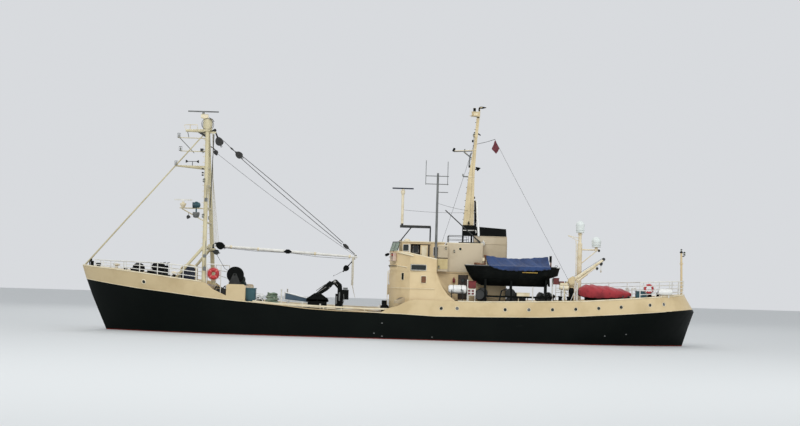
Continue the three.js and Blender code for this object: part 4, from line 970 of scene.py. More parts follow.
gear = Shape()
mid, hook_at = Vector((4.10, 0.108, 3.345)), Vector((1.725, 0, 2.745))
gear.slab([(-0.165, 0), (-0.06, 0.085), (0.06, 0.085), (0.165, 0), (0.06, -0.085), (-0.06, -0.085)], 0.07,
          upright(mid + Vector((0, -0.035, 0))))
gear.turned(both_ends((0.078, 0.045), (0.067, 0.05)), (4.10, 0, 3.347), (1, 0, 0.05), 24)
gear.turned([(0.066, 0.0), (0.072, 0.01), (0.072, 0.30), (0.066, 0.31)], (6.96, 0, 3.491),
            (-1, 0, -0.05), 20)
block_shape(gear, (6.83, 0.10, 3.50), (-1, 0, -0.55), 0.30, 0.04)
gear.tube([mid + Vector((-0.06, 0, -0.05)), (2.9, 0.06, 3.17), (1.60, 0, 3.12)], 0.007, 6)
gear.tube([(6.72, 0.08, 3.42), (5.4, 0.05, 3.32), mid + Vector((0.06, 0, -0.05))], 0.007, 6)
slant = (Vector((1.40, 0, 3.14)) - hook_at).normalized()
gear.tube([(1.36, 0, 3.19), hook_at + slant * 0.10], 0.020, 6)
block_shape(gear, hook_at, slant, 0.23, 0.045)
gear.turned(both_ends((0.085, 0.05), middle=0.09), hook_at, ACROSS, 18)
hook_low = hook_at - slant * 0.17
gear.tube([hook_at - slant * 0.10, hook_low + Vector((0.02, 0, 0.01)), hook_at - slant * 0.20,
           hook_low - Vector((0.03, 0, 0.01))], [0.018, 0.016, 0.014, 0.006], 8)
gear.tube([hook_at - slant * 0.12, (2.02, 0.30, 2.52), (2.20, 0.72, 2.42)], 0.006, 6)
gear.ring((2.20, 0.72, 2.42), AHEAD, 0.022, 0.006, 12, 6)
gear.piece("hook_blocks", black, "derrick_boom")
boom_bands = Shape()
for x in (6.4, 5.3, 4.12, 3.0, 1.60):
    share = (7.04 - x) / (7.04 - 1.29)
    boom_bands.turned(both_ends((0.070, 0.03), (0.066, 0.035)), (x, 0, 3.495 - share * 0.290),
                      (1, 0, 0.050), 20)
boom_bands.piece("boom_bands", cream_pale, "derrick_boom")
pennant = Shape()
strap = [Vector((x, 0.045, z)) for x, z in ((1.455, 3.18), (1.452, 2.85), (1.448, 2.45), (1.455, 2.06))]
pennant.loft([[point + Vector((dx, dy, 0)) for dx, dy in
               ((-0.036, -0.006), (0.036, -0.006), (0.036, 0.006), (-0.036, 0.006))] for point in strap])
pennant.tube([(1.50, -0.03, 3.15), (1.505, -0.03, 2.6), (1.50, -0.03, 2.05)], 0.008, 6)
pennant.tube([(1.45, 0.045, 2.08), (1.41, 0.045, 1.84), (1.33, 0.045, 1.56)], [0.018, 0.012, 0.006], 6)
pennant.turned(both_ends((0.05, 0.03), middle=0.055), (1.452, 0.0, 3.175), ACROSS, 16)
pennant.piece("boom_pennant", fibre, "derrick_boom")

# Well deck: store, hatch machinery, hoses, bulwark stays, rail bars, posts, grab and gangway
STORE_X, STORE_Y = 5.43, 1.52
store = Shape().box((STORE_X, STORE_Y, 1.33), (0.42, 0.46, 0.98))
store.box((STORE_X, STORE_Y, 1.825), (0.46, 0.50, 0.035))
store.box((STORE_X, 1.757, 1.40), (0.34, 0.02, 0.72))
for z in (1.20, 1.60):
    store.rods([((5.27, 1.77, z), (5.27, 1.77, z + 0.08))], 0.014)
store.turned([(0.02, 0), (0.02, 0.03), (0.035, 0.035), (0.02, 0.05)], (5.55, 1.76, 1.42), ACROSS, 12)
store.piece("deck_store", teal, bevel=0.006)
fittings, pipes = Shape(), Shape()
for x, y, z in ((5.12, 1.66, 1.24), (4.98, 1.60, 1.22)):
    fittings.turned([(0.085, -0.42), (0.085, 0.16), (0.055, 0.20), (0.03, 0.24)], (x, y, z), UP, 18)
    pipes.ring((x, y, z + 0.33), (0.2, 1, 0), 0.075, 0.014, 20, 6)
    pipes.rods([((x, y, z + 0.20), (x, y, z + 0.33)), ((x - 0.07, y, z + 0.33), (x + 0.07, y, z + 0.33))],
               0.012)
    pipes.turned(both_ends((0.095, 0.02), middle=0.10), (x, y, z - 0.02), UP, 18)
fittings.box((5.05, 1.62, 1.02), (0.44, 0.36, 0.30))
pipes.tube([(5.22, 1.74, 1.0), (5.22, 1.76, 1.36), (5.14, 1.76, 1.42), (4.96, 1.74, 1.42),
            (4.90, 1.74, 1.30)], 0.020, 8)
fittings.piece("hatch_machinery", black, bevel=0.006)
pipes.piece("hatch_machinery_pipes", moulding)
bundle = Shape()
for k in range(28):
    layer, turn_in = divmod(k, 2)
    radius = (0.275 - 0.085 * turn_in) * (1 - 0.0021 * layer * layer) + 0.010 * math.sin(2.3 * k)
    centre = Vector((4.575 + 0.018 * math.sin(2.1 * k), 1.50 + 0.02 * math.cos(1.7 * k),
                     0.86 + 0.060 * layer))
    tilt = 0.020 * math.sin(1.3 * k)
    loop = [Vector((radius * math.cos(t), radius * math.sin(t),
                    tilt * math.cos(t) + 0.012 * math.sin(3 * t + k))) for t in full_turn(28)]
    bundle.tube([centre + point for point in loop], 0.034, 8, True)
bundle.piece("deck_hoses", hose_green)
stringer = Shape()
for side in (1, -1):
    inside = [Vector((x, side * 2.045, line_at(COLOUR_LINE, x) - 0.05)) for x in steps(-0.2, 5.45, 24)]
    stringer.tube([point + Vector((0, 0, 0.055)) for point in inside], 0.030, 8)
    for x in steps(0.25, 5.2, 12):
        z, deck = line_at(COLOUR_LINE, x), top(x, side * 2.0, *WELL)
        stringer.loft([[(x + dx, side * 2.10, z), (x + dx, side * 2.03, z), (x + dx, side * 1.90, deck),
                        (x + dx, side * 2.10, deck)] for dx in (-0.008, 0.008)])
stringer.piece("well_bulwark_stays", cream)
ledges = Shape()
rail_line = [(5.30, 1.335), (4.365, 1.262), (2.507, 1.200), (1.811, 1.188), (0.90, 1.165), (-0.10, 1.175)]
for side in (1, -1):
    ledges.loft([[(x, side * y, z + dz) for y, dz in ((2.06, -0.03), (1.95, -0.035), (1.95, 0.035),
                                                      (2.06, 0.03))] for x, z in rail_line])
    for x, z in rail_line[1:-1]:
        ledges.box((x, side * 2.0, z - 0.10), (0.03, 0.12, 0.16))
ledges.piece("well_rail_bars", cream_pale, bevel=0.006)
posts = Shape()
for x, z in ((4.184, 1.84), (3.35, 1.36), (2.65, 1.30), (0.33, 1.30)):
    for side in (1, -1):
        foot = 0.78 if x > 2 else 0.66
        tall = z - foot
        posts.turned([(0.034, 0), (0.030, 0.02), (0.027, tall - 0.04), (0.040, tall - 0.02), (0.02, tall)],
                     (x, side * 1.88, foot), UP, 12)
posts.piece("well_posts", white)
GRAB_X, GRAB_Y = 2.79, 1.36
grab = Shape()
for flip in (1, -1):
    jaw = [(0.01, 0.02), (0.30, 0.0), (0.42, 0.05), (0.43, 0.12), (0.30, 0.20), (0.12, 0.33), (0.01, 0.34)]
    jaw = [(flip * x, z) for x, z in jaw][::flip]
    grab.slab(jaw, 0.30, upright((GRAB_X, GRAB_Y, 1.38)))
    for dy in (-0.13, 0.13):
        grab.rods([((GRAB_X + flip * 0.36, GRAB_Y + dy, 1.50), (GRAB_X + flip * 0.06, GRAB_Y + dy, 1.70))],
                  0.024)
    for k in range(4):
        grab.slab([(0, 0), (flip * 0.03, 0), (flip * 0.015, -0.06)][::flip], 0.03,
                  upright((GRAB_X + flip * 0.42, 1.24 + 0.08 * k, 1.44)))
grab.turned(both_ends((0.075, 0.17), (0.06, 0.18)), (GRAB_X, GRAB_Y, 1.67), ACROSS, 20)
grab.turned(both_ends((0.06, 0.16), (0.05, 0.17)), (GRAB_X, GRAB_Y, 1.52), ACROSS, 20)
grab.box((GRAB_X, GRAB_Y, 1.19), (0.74, 0.36, 0.40))
grab.box((GRAB_X, GRAB_Y, 1.42), (0.84, 0.30, 0.10))
grab.piece("crane_grab", black, bevel=0.005)
gangway, panels = Shape(), Shape()
for y in (-0.12, 0.30):
    gangway.rods([((4.16, y, 1.70), (3.04, y, 1.44)), ((4.16, y, 1.40), (3.04, y, 1.30)),
                  ((4.16, y, 1.40), (4.16, y, 1.72)), ((3.04, y, 1.30), (3.04, y, 1.45))], 0.018)
    panels.loft([[(x, y + dy, z) for dy, z in ((-0.006, low), (0.006, low), (0.006, high), (-0.006, high))]
                 for x, low, high in ((4.13, 1.42, 1.67), (3.60, 1.37, 1.555), (3.07, 1.32, 1.43))])
for x in steps(3.12, 4.10, 8):
    tread = 1.33 + 0.09 * (x - 3.1)
    gangway.rods([((x, -0.12, tread), (x, 0.30, tread))], 0.014)
gangway.rods([((x, y, 1.05), (x, y, 1.36)) for x in (3.2, 4.0) for y in (-0.1, 0.28)], 0.016)
gangway.piece("gangway", moulding)
panels.piece("gangway_panels", sea_blue)

# Deck crane: ram, hoses and plates, and the winch that stands by it
column_trim, boom_trim, jib_trim = Shape(), Shape(), Shape()
column_trim.rods([((2.045, 1.125, 1.62), (2.05, 1.125, 1.30))], 0.034, 12)
column_trim.box((1.93, 1.118, 1.60), (0.05, 0.02, 0.34))
column_trim.box((1.70, 1.0, 1.925), (0.18, 0.20, 0.08))
column_trim.tube([(1.76, 1.135, 1.70), (1.74, 1.15, 1.45), (1.80, 1.145, 1.25), (1.90, 1.13, 1.15)], 0.013,
                 8)
column_trim.turned([(0.145, 0), (0.15, 0.02), (0.15, 0.06), (0.135, 0.08)], (1.9, 1.0, 1.05), UP, 26)
column_trim.piece("crane_column_trim", grey, "crane_column", 0.004)
for side in (1, -1):
    boom_trim.turned([(0.058, 0.070), (0.058, 0.086), (0.030, 0.100)], (2.13, 1.0, 2.178), (0, side, 0), 20)
boom_trim.tube([(1.95, 1.060, 1.95), (2.03, 1.062, 2.06), (2.09, 1.064, 2.12)], 0.012, 8)
boom_trim.tube([(1.95, 1.0, 2.09), (2.02, 1.0, 2.20), (2.12, 1.0, 2.275)], 0.014, 8)
boom_trim.piece("crane_boom_trim", steel, "crane_boom")
jib_trim.tube([(2.46, 1.088, 1.965), (2.62, 1.088, 1.855), (2.79, 1.088, 1.745)], 0.016, 8)
jib_trim.box((2.33, 1.086, 1.95), (0.05, 0.014, 0.05), facing=(0.8, 0, -0.56))
jib_trim.rods([((2.50, 1.05, 2.07), (2.86, 1.05, 1.81))], 0.014, 12)
jib_trim.turned(both_ends((0.06, 0.09), (0.05, 0.10)), (2.86, 1.0, 1.63), ACROSS, 18)
jib_trim.tube([(2.86, 1.0, 1.58), (2.86, 1.0, 1.46)], 0.022, 10)
jib_trim.piece("crane_jib_trim", steel, "crane_jib")
jib_case = Shape()
jib_case.loft([[(x, 1.0 + dy, z + dz)
                for dy, dz in ((-0.07, -low), (0.07, -low), (0.07, high), (-0.07, high))]
               for x, z, low, high in ((2.24, 2.13, 0.13, 0.03), (2.42, 2.02, 0.19, 0.04),
                                       (2.62, 1.87, 0.17, 0.03), (2.84, 1.71, 0.11, 0.03))])
jib_case.piece("crane_jib_case", black, "crane_jib", 0.006)
boom_case = Shape()
for near, far in ((1.070, 1.072), (0.930, 0.928)):
    boom_case.tube([(1.93, near, 1.97), (1.965, far, 2.04), (2.005, far, 2.09)], 0.026, 10)
boom_case.piece("crane_boom_hoses", black, "crane_boom")
WINCH_X, WINCH_Y = 0.12, 1.05
winch = Shape()
winch.box((WINCH_X, WINCH_Y, 0.70), (0.34, 0.62, 0.10))
for dy in (-0.24, 0.24):
    winch.slab([(-0.15, -0.36), (0.15, -0.36), (0.11, 0.10), (-0.11, 0.10)], 0.04,
               upright((WINCH_X, WINCH_Y + dy, 1.10)))
winch.turned(both_ends((0.09, 0.23), (0.17, 0.25), (0.17, 0.28), (0.10, 0.30)),
             (WINCH_X, WINCH_Y, 1.20), ACROSS, 22)
winch.turned([(0.11, 0.30), (0.08, 0.34), (0.07, 0.42), (0.11, 0.46)], (WINCH_X, WINCH_Y, 1.20), ACROSS, 18)
winch.box((0.14, 0.92, 1.42), (0.20, 0.26, 0.16))
winch.piece("deck_winch", black, bevel=0.005)

# House: glass in every opening, frames round it
def window(frames, glass, centre, size, axis, thick=0.012, inset=0.03, corner=0.035):
    """A pane in an opening and its frame; centre is on the outer face, axis is the way that it looks."""
    axis = Vector(axis).normalized()
    across = UP.cross(axis).normalized()
    wide, tall = size
    half_w, half_h = wide / 2, tall / 2
    centre = Vector(centre)
    glass.box(centre - axis * inset, (0.008, wide + 0.03, tall + 0.03), facing=axis)
    loop = []
    for quarter, (sx, sz) in enumerate(((1, 1), (-1, 1), (-1, -1), (1, -1))):
        corner_at = centre + across * sx * (half_w - corner) + UP * sz * (half_h - corner)
        for t in steps(quarter * math.pi / 2, (quarter + 1) * math.pi / 2, 4):
            loop.append(corner_at + corner * (math.cos(t) * across + math.sin(t) * UP) + axis * 0.004)
    frames.tube(loop, thick, 6, True)


house_frames, house_glass, bright_frames, brown_glass = Shape(), Shape(), Shape(), Shape()
for y in (-0.5, -0.25, 0, 0.25, 0.5):
    window(house_frames, house_glass, (-0.40, y, 3.51), (0.20, 0.36), AHEAD)
for side in (1, -1):
    window(bright_frames, house_glass, (-0.66, side, 3.625), (0.23, 0.27), (0, side, 0))
    bright_frames.box((-0.812, side * 1.003, 3.45), (0.055, 0.008, 0.66))
    window(bright_frames, house_glass, (-1.89, side, 3.51), (0.26, 0.36), (0, side, 0))
    window(bright_frames, house_glass, (-1.179, side * 2.075, 2.8425), (0.598, 0.215), (0, side, 0), 0.010,
           corner=0.02)
    window(house_frames, brown_glass, (-1.386, side * 2.046, 2.372), (0.212, 0.29),
           (0.049, side, 0), 0.016, 0.02)
    window(house_frames, house_glass, (-0.565, side * 1.716, 2.475), (0.145, 0.29), (0.69, side * 0.73, 0),
           0.012, 0.04, 0.03)
for y in (-0.52, 0, 0.52):
    window(house_frames, house_glass, (-0.038, y, 2.40), (0.22, 0.32), AHEAD)
house_frames.piece("window_frames", cream_pale)
bright_frames.piece("window_frames_side", white)
house_glass.piece("window_glass", dark_glass)
brown_glass.piece("window_blinds", wood)
inside = Shape()
inside.box((-1.20, 0.62, 3.28), (0.80, 0.03, 1.08))
inside.box((-1.60, 0.10, 3.28), (0.03, 1.04, 1.08))
inside.box((-0.80, 0.0, 2.98), (0.28, 1.10, 0.50))
inside.turned(both_ends((0.15, 0.015), (0.02, 0.02)), (-1.04, 0.0, 3.10), (1, 0, 0.2), 24)
for side in (1, -1):
    inside.box((-1.045, side * 1.003, 3.788), (0.42, 0.006, 0.03))
inside.piece("wheelhouse_fittings", deep_brown, bevel=0.004)
Shape().box((-1.055, 0.640, 3.585), (0.19, 0.014, 0.26)).piece("wheelhouse_inner_glass", dark_glass)
inner_corners = [(x, 0.646, z) for x, z in ((-1.16, 3.725), (-0.95, 3.725), (-0.95, 3.445), (-1.16, 3.445))]
Shape().tube(inner_corners, 0.014, 6, True).piece("wheelhouse_inner_frame", moulding)

# Doors: panels, trims, hinges and handles that ride each leaf
for name, side in SIDES:
    face = 1.038 * side
    leaf = Shape()
    leaf.box((-1.439, face + side * 0.004, 3.766), (0.40, 0.010, 0.036))
    leaf.box((-1.575, face + side * 0.004, 3.30), (0.075, 0.010, 0.92))
    handle = ((0.004, 3.24), (0.036, 3.25), (0.036, 3.39), (0.004, 3.40))
    leaf.tube([(-1.28, face + side * out, z) for out, z in handle], 0.009, 8)
    leaf.piece("sliding_door_trim_" + name, deep_brown, "wheelhouse_door_" + name, 0.003)
    panel = Shape()
    panel.box((-1.392, face + side * 0.005, 3.50), (0.22, 0.010, 0.42))
    panel.box((-1.392, face + side * 0.005, 3.02), (0.22, 0.010, 0.34))
    panel_corners = ((-1.49, 3.69), (-1.29, 3.69), (-1.29, 3.31), (-1.49, 3.31))
    panel.tube([(x, face + side * 0.008, z) for x, z in panel_corners], 0.009, 6, True)
    panel.piece("sliding_door_panels_" + name, cream_pale, "wheelhouse_door_" + name, 0.003)
    leaf_gear = Shape()
    y = side * 0.962
    for z in (1.85, 2.40):
        leaf_gear.box((-3.085, y, z), (0.16, 0.016, 0.035))
        leaf_gear.turned([(0.016, -0.05), (0.016, 0.05)], (-3.163, side * 0.968, z), UP, 12)
    for z in (1.80, 2.12, 2.45):
        leaf_gear.tube([(-2.87, y, z), (-2.87, y + side * 0.03, z), (-2.82, y + side * 0.035, z + 0.08)],
                       0.009, 6)
    leaf_gear.tube([(-2.83, y, 2.08), (-2.83, y + side * 0.03, 2.10), (-2.83, y + side * 0.03, 2.22),
                    (-2.83, y, 2.24)], 0.010, 8)
    leaf_gear.ring((-2.97, y, 2.38), (0, side, 0), 0.075, 0.014, 24, 8)
    leaf_gear.piece("deckhouse_door_gear_" + name, dark, "deckhouse_door_" + name, 0.002)
    port = Shape().turned([(0.074, -0.012), (0.074, 0.006), (0.05, 0.010)], (-2.97, side * 0.955, 2.38),
                          (0, side, 0), 24)
    port.piece("deckhouse_door_glass_" + name, dark_glass, "deckhouse_door_" + name)

# Windscreen, visors and ledges on the bulwark of the bridge
screen, screen_posts = Shape(), Shape()
front = [Vector((-0.018, y, 0)) for y in (-0.93, -0.62, -0.31, 0, 0.31, 0.62, 0.93)]
corner = [Vector((-0.018, 0.93, 0)), Vector((-0.16, 1.21, 0)), Vector((-0.30, 1.45, 0))]
path = [Vector((p.x, -p.y, 0)) for p in corner[:0:-1]] + front + corner[1:]
low, lean = Vector((0, 0, 3.47)), Vector((-0.12, 0, 0.36))
for one, two in zip(path, path[1:]):
    pane = [one + low, two + low, two + low + lean, one + low + lean]
    screen.loft([pane, [point + Vector((-0.012, 0, 0)) for point in pane]])
screen_posts.tube([point + Vector((-0.12, 0, 3.84)) for point in path], 0.016, 6)
screen_posts.rods([(point + Vector((0, 0, 3.44)), point + Vector((-0.12, 0, 3.84))) for point in path],
                  0.008)
screen.piece("windscreen", green_glass)
screen_posts.piece("windscreen_frame", dark)


def bulwark_top(x):
    return line_at([(0, 3.490), (-0.336, 3.467), (-1.500, 3.290), (-1.890, 3.178)], x)


cap = Shape()
rim = [(-1.89, 2.095), (-0.849, 1.985), (-0.316, 1.480), (-0.04, 0.95)]
rim_path = [Vector((x, y, bulwark_top(x)))
            for x, y in rim] + [Vector((x, -y, bulwark_top(x))) for x, y in rim[::-1]]
cap.tube([point + Vector((-0.02 if abs(point.y) < 1.6 else 0, -math.copysign(0.02, point.y), 0.004))
          for point in rim_path], 0.026, 8)
for side in (1, -1):
    visor = ((-0.33, 1.53, 3.425), (-0.55, 1.74, 3.385), (-0.849, 2.02, 3.325), (-0.97, 2.04, 3.285))
    cap.tube([(x, side * y, z) for x, y, z in visor], [0.030, 0.036, 0.036, 0.026], 10)
    ledge = [Vector((-0.33, side * 1.515, 2.905)), Vector((-0.50, side * 1.675, 2.875)),
             Vector((-0.73, side * 1.90, 2.840))]
    cap.tube(ledge, 0.020, 8)
    for at in (ledge[0], ledge[0].lerp(ledge[1], 0.6), ledge[1].lerp(ledge[2], 0.3),
               ledge[1].lerp(ledge[2], 0.95)):
        cap.rods([(at, at + Vector((-0.02, -side * 0.02, -0.07)))], 0.011)
cap.piece("bridge_bulwark_trim", cream_pale)
# The ledge along the front of the house is dark steel: painted shadow under the ledge
ledge_rim = Shape()
for side in (1, -1):
    ledge_rim.tube([(0.00, side * 0.96, 2.89), (-0.29, side * 1.53, 2.89)], 0.014, 6)
ledge_rim.tube([(0.00, -0.96, 2.89), (0.00, 0.96, 2.89)], 0.014, 6)
ledge_rim.rods([((-0.01, y, 2.89), (-0.05, y, 2.80)) for y in steps(-0.9, 0.9, 7)], 0.010)
ledge_rim.piece("front_ledge_trim", dark)

# Sidelights in their screens at the corners of the bulwark
for (name, side), paint in zip(SIDES, (red, green)):
    out = Vector((0.86, side * 0.51, 0)).normalized()
    along = Vector((-0.46, side * 0.89, 0)).normalized()
    centre = Vector((-0.20, side * 1.33, 3.24))
    shade = Shape()
    shade.box(centre + out * 0.07, (0.14, 0.34, 0.018), facing=out)
    for z in (-0.15, 0.15):
        shade.box(centre + out * 0.07 + UP * z, (0.15, 0.36, 0.018), facing=out)
    shade.box(centre + out * 0.012, (0.02, 0.36, 0.32), facing=out)
    shade.box(centre + out * 0.075 + along * 0.17, (0.14, 0.016, 0.30), facing=out)
    shade.piece("sidelight_screen_" + name, pink_paint, bevel=0.004)
    shell, bulb = Shape(), Shape()
    lamp(shell, bulb, centre + out * 0.075 + UP * 0.01, 1.0)
    shell.piece("sidelight_" + name, black)
    bulb.piece("sidelight_lens_" + name, paint)

# Front of the house: ladder, handrails, boxes and lamps
front_gear = Shape()
for y in (0.80, 1.02):
    front_gear.tube([(0.035, y, 1.34), (0.035, y, 2.66), (-0.03, y, 2.70)], 0.011, 6)
front_gear.rods([((0.035, 0.80, z), (0.035, 1.02, z)) for z in steps(1.45, 2.58, 9)], 0.008)
front_gear.rods([((-0.04, y, z), (0.035, y, z)) for y in (0.80, 1.02) for z in (1.40, 2.58)], 0.009)
for side in (1, -1):
    hand_line = ((0.00, 1.02), (-0.27, 1.55), (-0.80, 2.04), (-1.80, 2.13))
    front_gear.tube([(x, side * y, 2.02) for x, y in hand_line], 0.010, 6)
    front_gear.rods([((x + 0.02, side * (y + 0.03), 2.02), (x - 0.02, side * (y - 0.02), 2.02))
                     for x, y in ((-0.28, 1.53), (-0.82, 2.01), (-1.30, 2.06), (-1.78, 2.10))], 0.009)
front_gear.piece("house_handrails", cream_pale)
boxes = Shape()
boxes.box((0.0, 0.30, 2.06), (0.09, 0.20, 0.16))
boxes.box((0.0, -0.35, 1.90), (0.08, 0.26, 0.34))
boxes.tube([(0.0, 0.30, 2.14), (-0.005, 0.30, 2.60), (-0.005, 0.20, 2.68)], 0.010, 6)
for side in (1, -1):
    boxes.slab([(-0.24, 0.0), (0.26, 0.0), (0.26, 0.10), (-0.05, 0.24), (-0.24, 0.24)], 0.20,
               upright((-0.50, side * 1.86, 1.41), math.radians(42) * side))
boxes.piece("house_boxes", tan, bevel=0.005)
house_lamps, house_lenses = Shape(), Shape()
for x, y, z, size in ((-1.99, 1.255, 2.93, 0.6), (-2.25, 1.26, 3.68, 0.6), (-2.585, 1.06, 3.57, 0.6)):
    for side in (1, -1):
        lamp(house_lamps, house_lenses, (x, side * y, z), size, True)
        house_lamps.rods([((x, side * y, z), (x, side * (y - 0.09), z + 0.03))], 0.014)
house_lamps.piece("house_lamps", dark)
house_lenses.piece("house_lamp_lenses", lens)
flood = Shape()
flood.turned([(0.03, -0.04), (0.06, -0.02), (0.085, 0.07), (0.085, 0.09), (0.075, 0.09)],
             (-3.76, 0.60, 3.92), (0.3, 0.9, -0.5), 18)
flood.tube([(-3.76, 0.52, 4.02), (-3.76, 0.56, 4.02), (-3.76, 0.60, 3.95)], 0.012, 6)
flood.piece("floodlights", moulding)
front_lamp = Shape().turned([(0.03, 0), (0.055, 0.06), (0.055, 0.15), (0.04, 0.17)], (0.0, 0.90, 3.36),
                            (0.85, 0.3, -0.35), 16)
front_lamp.piece("front_lamp", black)

# Chart house and deckhouse fittings, roof trims, exhaust pipe and the casing's louvres
bars = Shape()
for side in (1, -1):
    bars.box((-3.19, side * 0.90, 3.892), (0.87, 0.07, 0.055))
bars.piece("chart_house_bars", dark, bevel=0.004)
extinguisher = Shape()
for side in (1, -1):
    extinguisher.turned([(0.045, 0.0), (0.05, 0.01), (0.05, 0.14), (0.02, 0.18), (0.015, 0.21)],
                        (-2.608, side * 0.99, 2.29), UP, 18)
extinguisher.piece("fire_extinguishers", dark_red)
brackets = Shape()
for side in (1, -1):
    brackets.slab([(-0.13, 0.07), (0.03, 0.07), (-0.13, -0.07)], 0.10,
                  upright((-3.265, side * 0.985, 2.532)))
    brackets.rods([((-3.244, side * 0.93, 2.60), (-3.244, side * 1.06, 2.60))], 0.012)
brackets.piece("deckhouse_brackets", yellow, bevel=0.003)
rim_rings, hole_glass, wing_trim, wing_panel = Shape(), Shape(), Shape(), Shape()
for side in (1, -1):
    rim_rings.ring((-2.829, side * 1.0, 3.633), (0, side, 0), 0.066, 0.012, 28, 8)
    hole_glass.turned([(0.064, -0.01), (0.064, 0.006), (0.03, 0.010)], (-2.829, side * 0.965, 3.633),
                      (0, side, 0), 24)
    wing_trim.box((-2.13, side * 1.207, 3.25), (0.42, 0.016, 0.035))
    wing_panel.box((-2.13, side * 1.204, 3.015), (0.41, 0.010, 0.41))
rim_rings.piece("chart_house_rims", cream_pale)
hole_glass.piece("chart_house_glass", dark_glass)
# The ledge over the wing locker is dark brown: partly its own colour, partly painted shadow under it
wing_trim.piece("locker_trim", deep_brown, bevel=0.003)
wing_panel.piece("locker_panel", straw, bevel=0.003)
roof = Shape()
for side in (1, -1):
    roof.tube([(-2.30, side * 0.985, 3.862), (-3.72, side * 0.985, 3.862)], 0.020, 8)
    roof.tube([(-1.95, side * 1.19, 3.755), (-2.32, side * 1.19, 3.755)], 0.016, 8)
for x in (-2.30, -3.72):
    roof.tube([(x, 0.985, 3.862), (x, -0.985, 3.862)], 0.020, 8)
roof.piece("chart_house_trim", cream_pale)
rail_feet = [Vector((x, y, 3.87))
             for x, y in ((-3.15, 0.93), (-2.36, 0.93), (-2.36, 0), (-2.36, -0.93), (-3.15, -0.93))]
railing("chart_house_rail", rail_feet, [foot + Vector((0, 0, 0.30)) for foot in rail_feet], (0.5,),
        0.008, paint=dark)
roof_edge = Shape()
plan = [(-0.375, 0.73), (-0.50, 1.025), (-2.22, 1.025)]
loop = [Vector((x, y, 3.875)) for x, y in plan] + [Vector((x, -y, 3.875)) for x, y in plan[::-1]]
roof_edge.tube(loop, 0.018, 8, True)
roof_edge.turned([(0.13, 0.0), (0.13, 0.02), (0.10, 0.07), (0.05, 0.10)], (-0.70, 0.62, 3.892), UP, 20)
roof_edge.piece("wheelhouse_roof_trim", cream_pale)
pipe = Shape()
pipe.tube([(-3.468, 0.40, 5.60), (-3.50, 0.42, 5.05), (-3.545, 0.50, 4.50), (-3.560, 0.556, 4.30),
           (-3.562, 0.556, 4.17)], 0.045, 16)
pipe.turned([(0.052, 0), (0.056, 0.01), (0.056, 0.03), (0.052, 0.04)], (-3.468, 0.40, 5.565), UP, 18)
for z, y, reach in ((5.2, 0.415, -3.49), (4.75, 0.455, -3.525)):
    pipe.rods([((reach, y, z), (-3.43, 0.03, z - 0.06))], 0.014)
pipe.piece("exhaust_pipe", moulding)
bar = Shape()
bar.tube([(-2.94, 0.315, 4.402), (-3.36, 0.315, 4.41), (-3.43, 0.478, 4.41), (-3.458, 0.482, 4.40),
          (-3.462, 0.488, 4.30)], 0.018, 8)
bar.rods([((x, 0.315, 4.405), (x, 0.295, 4.405)) for x in (-3.00, -3.20, -3.33)], 0.012)
bar.piece("funnel_bar", white)
ends = Shape()
ends.turned([(0.046, 0), (0.058, 0.02), (0.058, 0.06), (0.046, 0.07)], (-3.418, 0, 5.56), UP, 20)
for z, x in ((4.80, -3.436), (5.20, -3.427)):
    ends.turned([(0.048, 0), (0.056, 0.01), (0.056, 0.04), (0.048, 0.05)], (x, 0, z), UP, 20)
ends.tube([(-3.43, 0.0, 5.1), (-3.36, 0.0, 5.1)], 0.016, 6)
ends.piece("exhaust_collars", black)
casing = Shape()
for z in steps(3.0, 3.95, 15):
    casing.box((-4.722, 0, z), (0.03, 0.62, 0.022))
casing.box((-4.718, 0, 3.475), (0.02, 0.68, 1.04))
for side in (1, -1):
    casing.tube([(-3.77, side * 0.53, 3.87), (-4.69, side * 0.53, 3.87)], 0.008, 6)
    casing.tube([(-4.69, side * 0.528, 2.78), (-4.69, side * 0.528, 4.17), (-3.42, side * 0.528, 4.17)],
                0.012, 6)
casing.piece("casing_louvres", tan, bevel=0.004)

# Aft mast: rungs, lamps, plates and stays, and the bridge radar's pole
rungs = Shape()
MAST_EDGE = [(4.62, -2.937, -3.369, 0.19), (6.58, -3.105, -3.350, 0.105), (7.674, -3.270, -3.395, 0.055),
             (9.09, -3.385, -3.500, 0.05)]


def on_mast(z, column):
    """One of the aft mast's widths or edges at a height."""
    return line_at([(row[0], row[column]) for row in MAST_EDGE], z)


for z in (4.86, 5.10, 5.38, 5.62, 5.92, 6.16, 6.46, 6.74, 6.98, 7.30, 7.56, 7.84, 8.20, 8.52, 8.80):
    fore, half = on_mast(z, 1), max(0.05, on_mast(z, 3) * 0.6)
    rungs.tube([(fore + out, y, z)
                for out, y in ((-0.01, -half), (0.035, -half), (0.035, half), (-0.01, half))], 0.007, 6)
rungs.piece("aft_mast_rungs", dark)
mast_lamps, mast_lenses = Shape(), Shape()
for x, y, z, size in ((-2.93, 0, 7.62, 0.6), (-2.885, 0, 6.61, 0.6), (-3.29, 0.40, 8.27, 0.7),
                      (-3.29, -0.40, 8.27, 0.7)):
    lamp(mast_lamps, mast_lenses, (x, y, z), size)
for x, z, size in ((-3.245, 8.02, 0.065), (-3.14, 6.99, 0.07), (-3.375, 5.72, 0.05)):
    mast_lamps.box((x, 0, z), (size, 0.09, size * 0.8))
    mast_lamps.turned([(size * 0.5, 0), (size * 0.62, 0.03), (size * 0.4, 0.07)], (x, 0.03, z), UP, 12)
mast_lamps.turned([(0.02, 0), (0.035, 0.03), (0.035, 0.08), (0.01, 0.14)], (-3.16, 0.24, 4.64), UP, 16)
mast_lamps.turned([(0.01, -0.02), (0.03, 0.0), (0.055, 0.04), (0.10, 0.10), (0.10, 0.125), (0.08, 0.13)],
                  (-3.47, 0, 6.85), (-0.15, 0, 1), 20)
mast_lamps.rods([((-3.34, 0, 6.90), (-3.45, 0, 6.90))], 0.020)
mast_lamps.rods([((-3.425, 0, 8.360), (-3.555, 0, 8.283))], 0.024, 10)
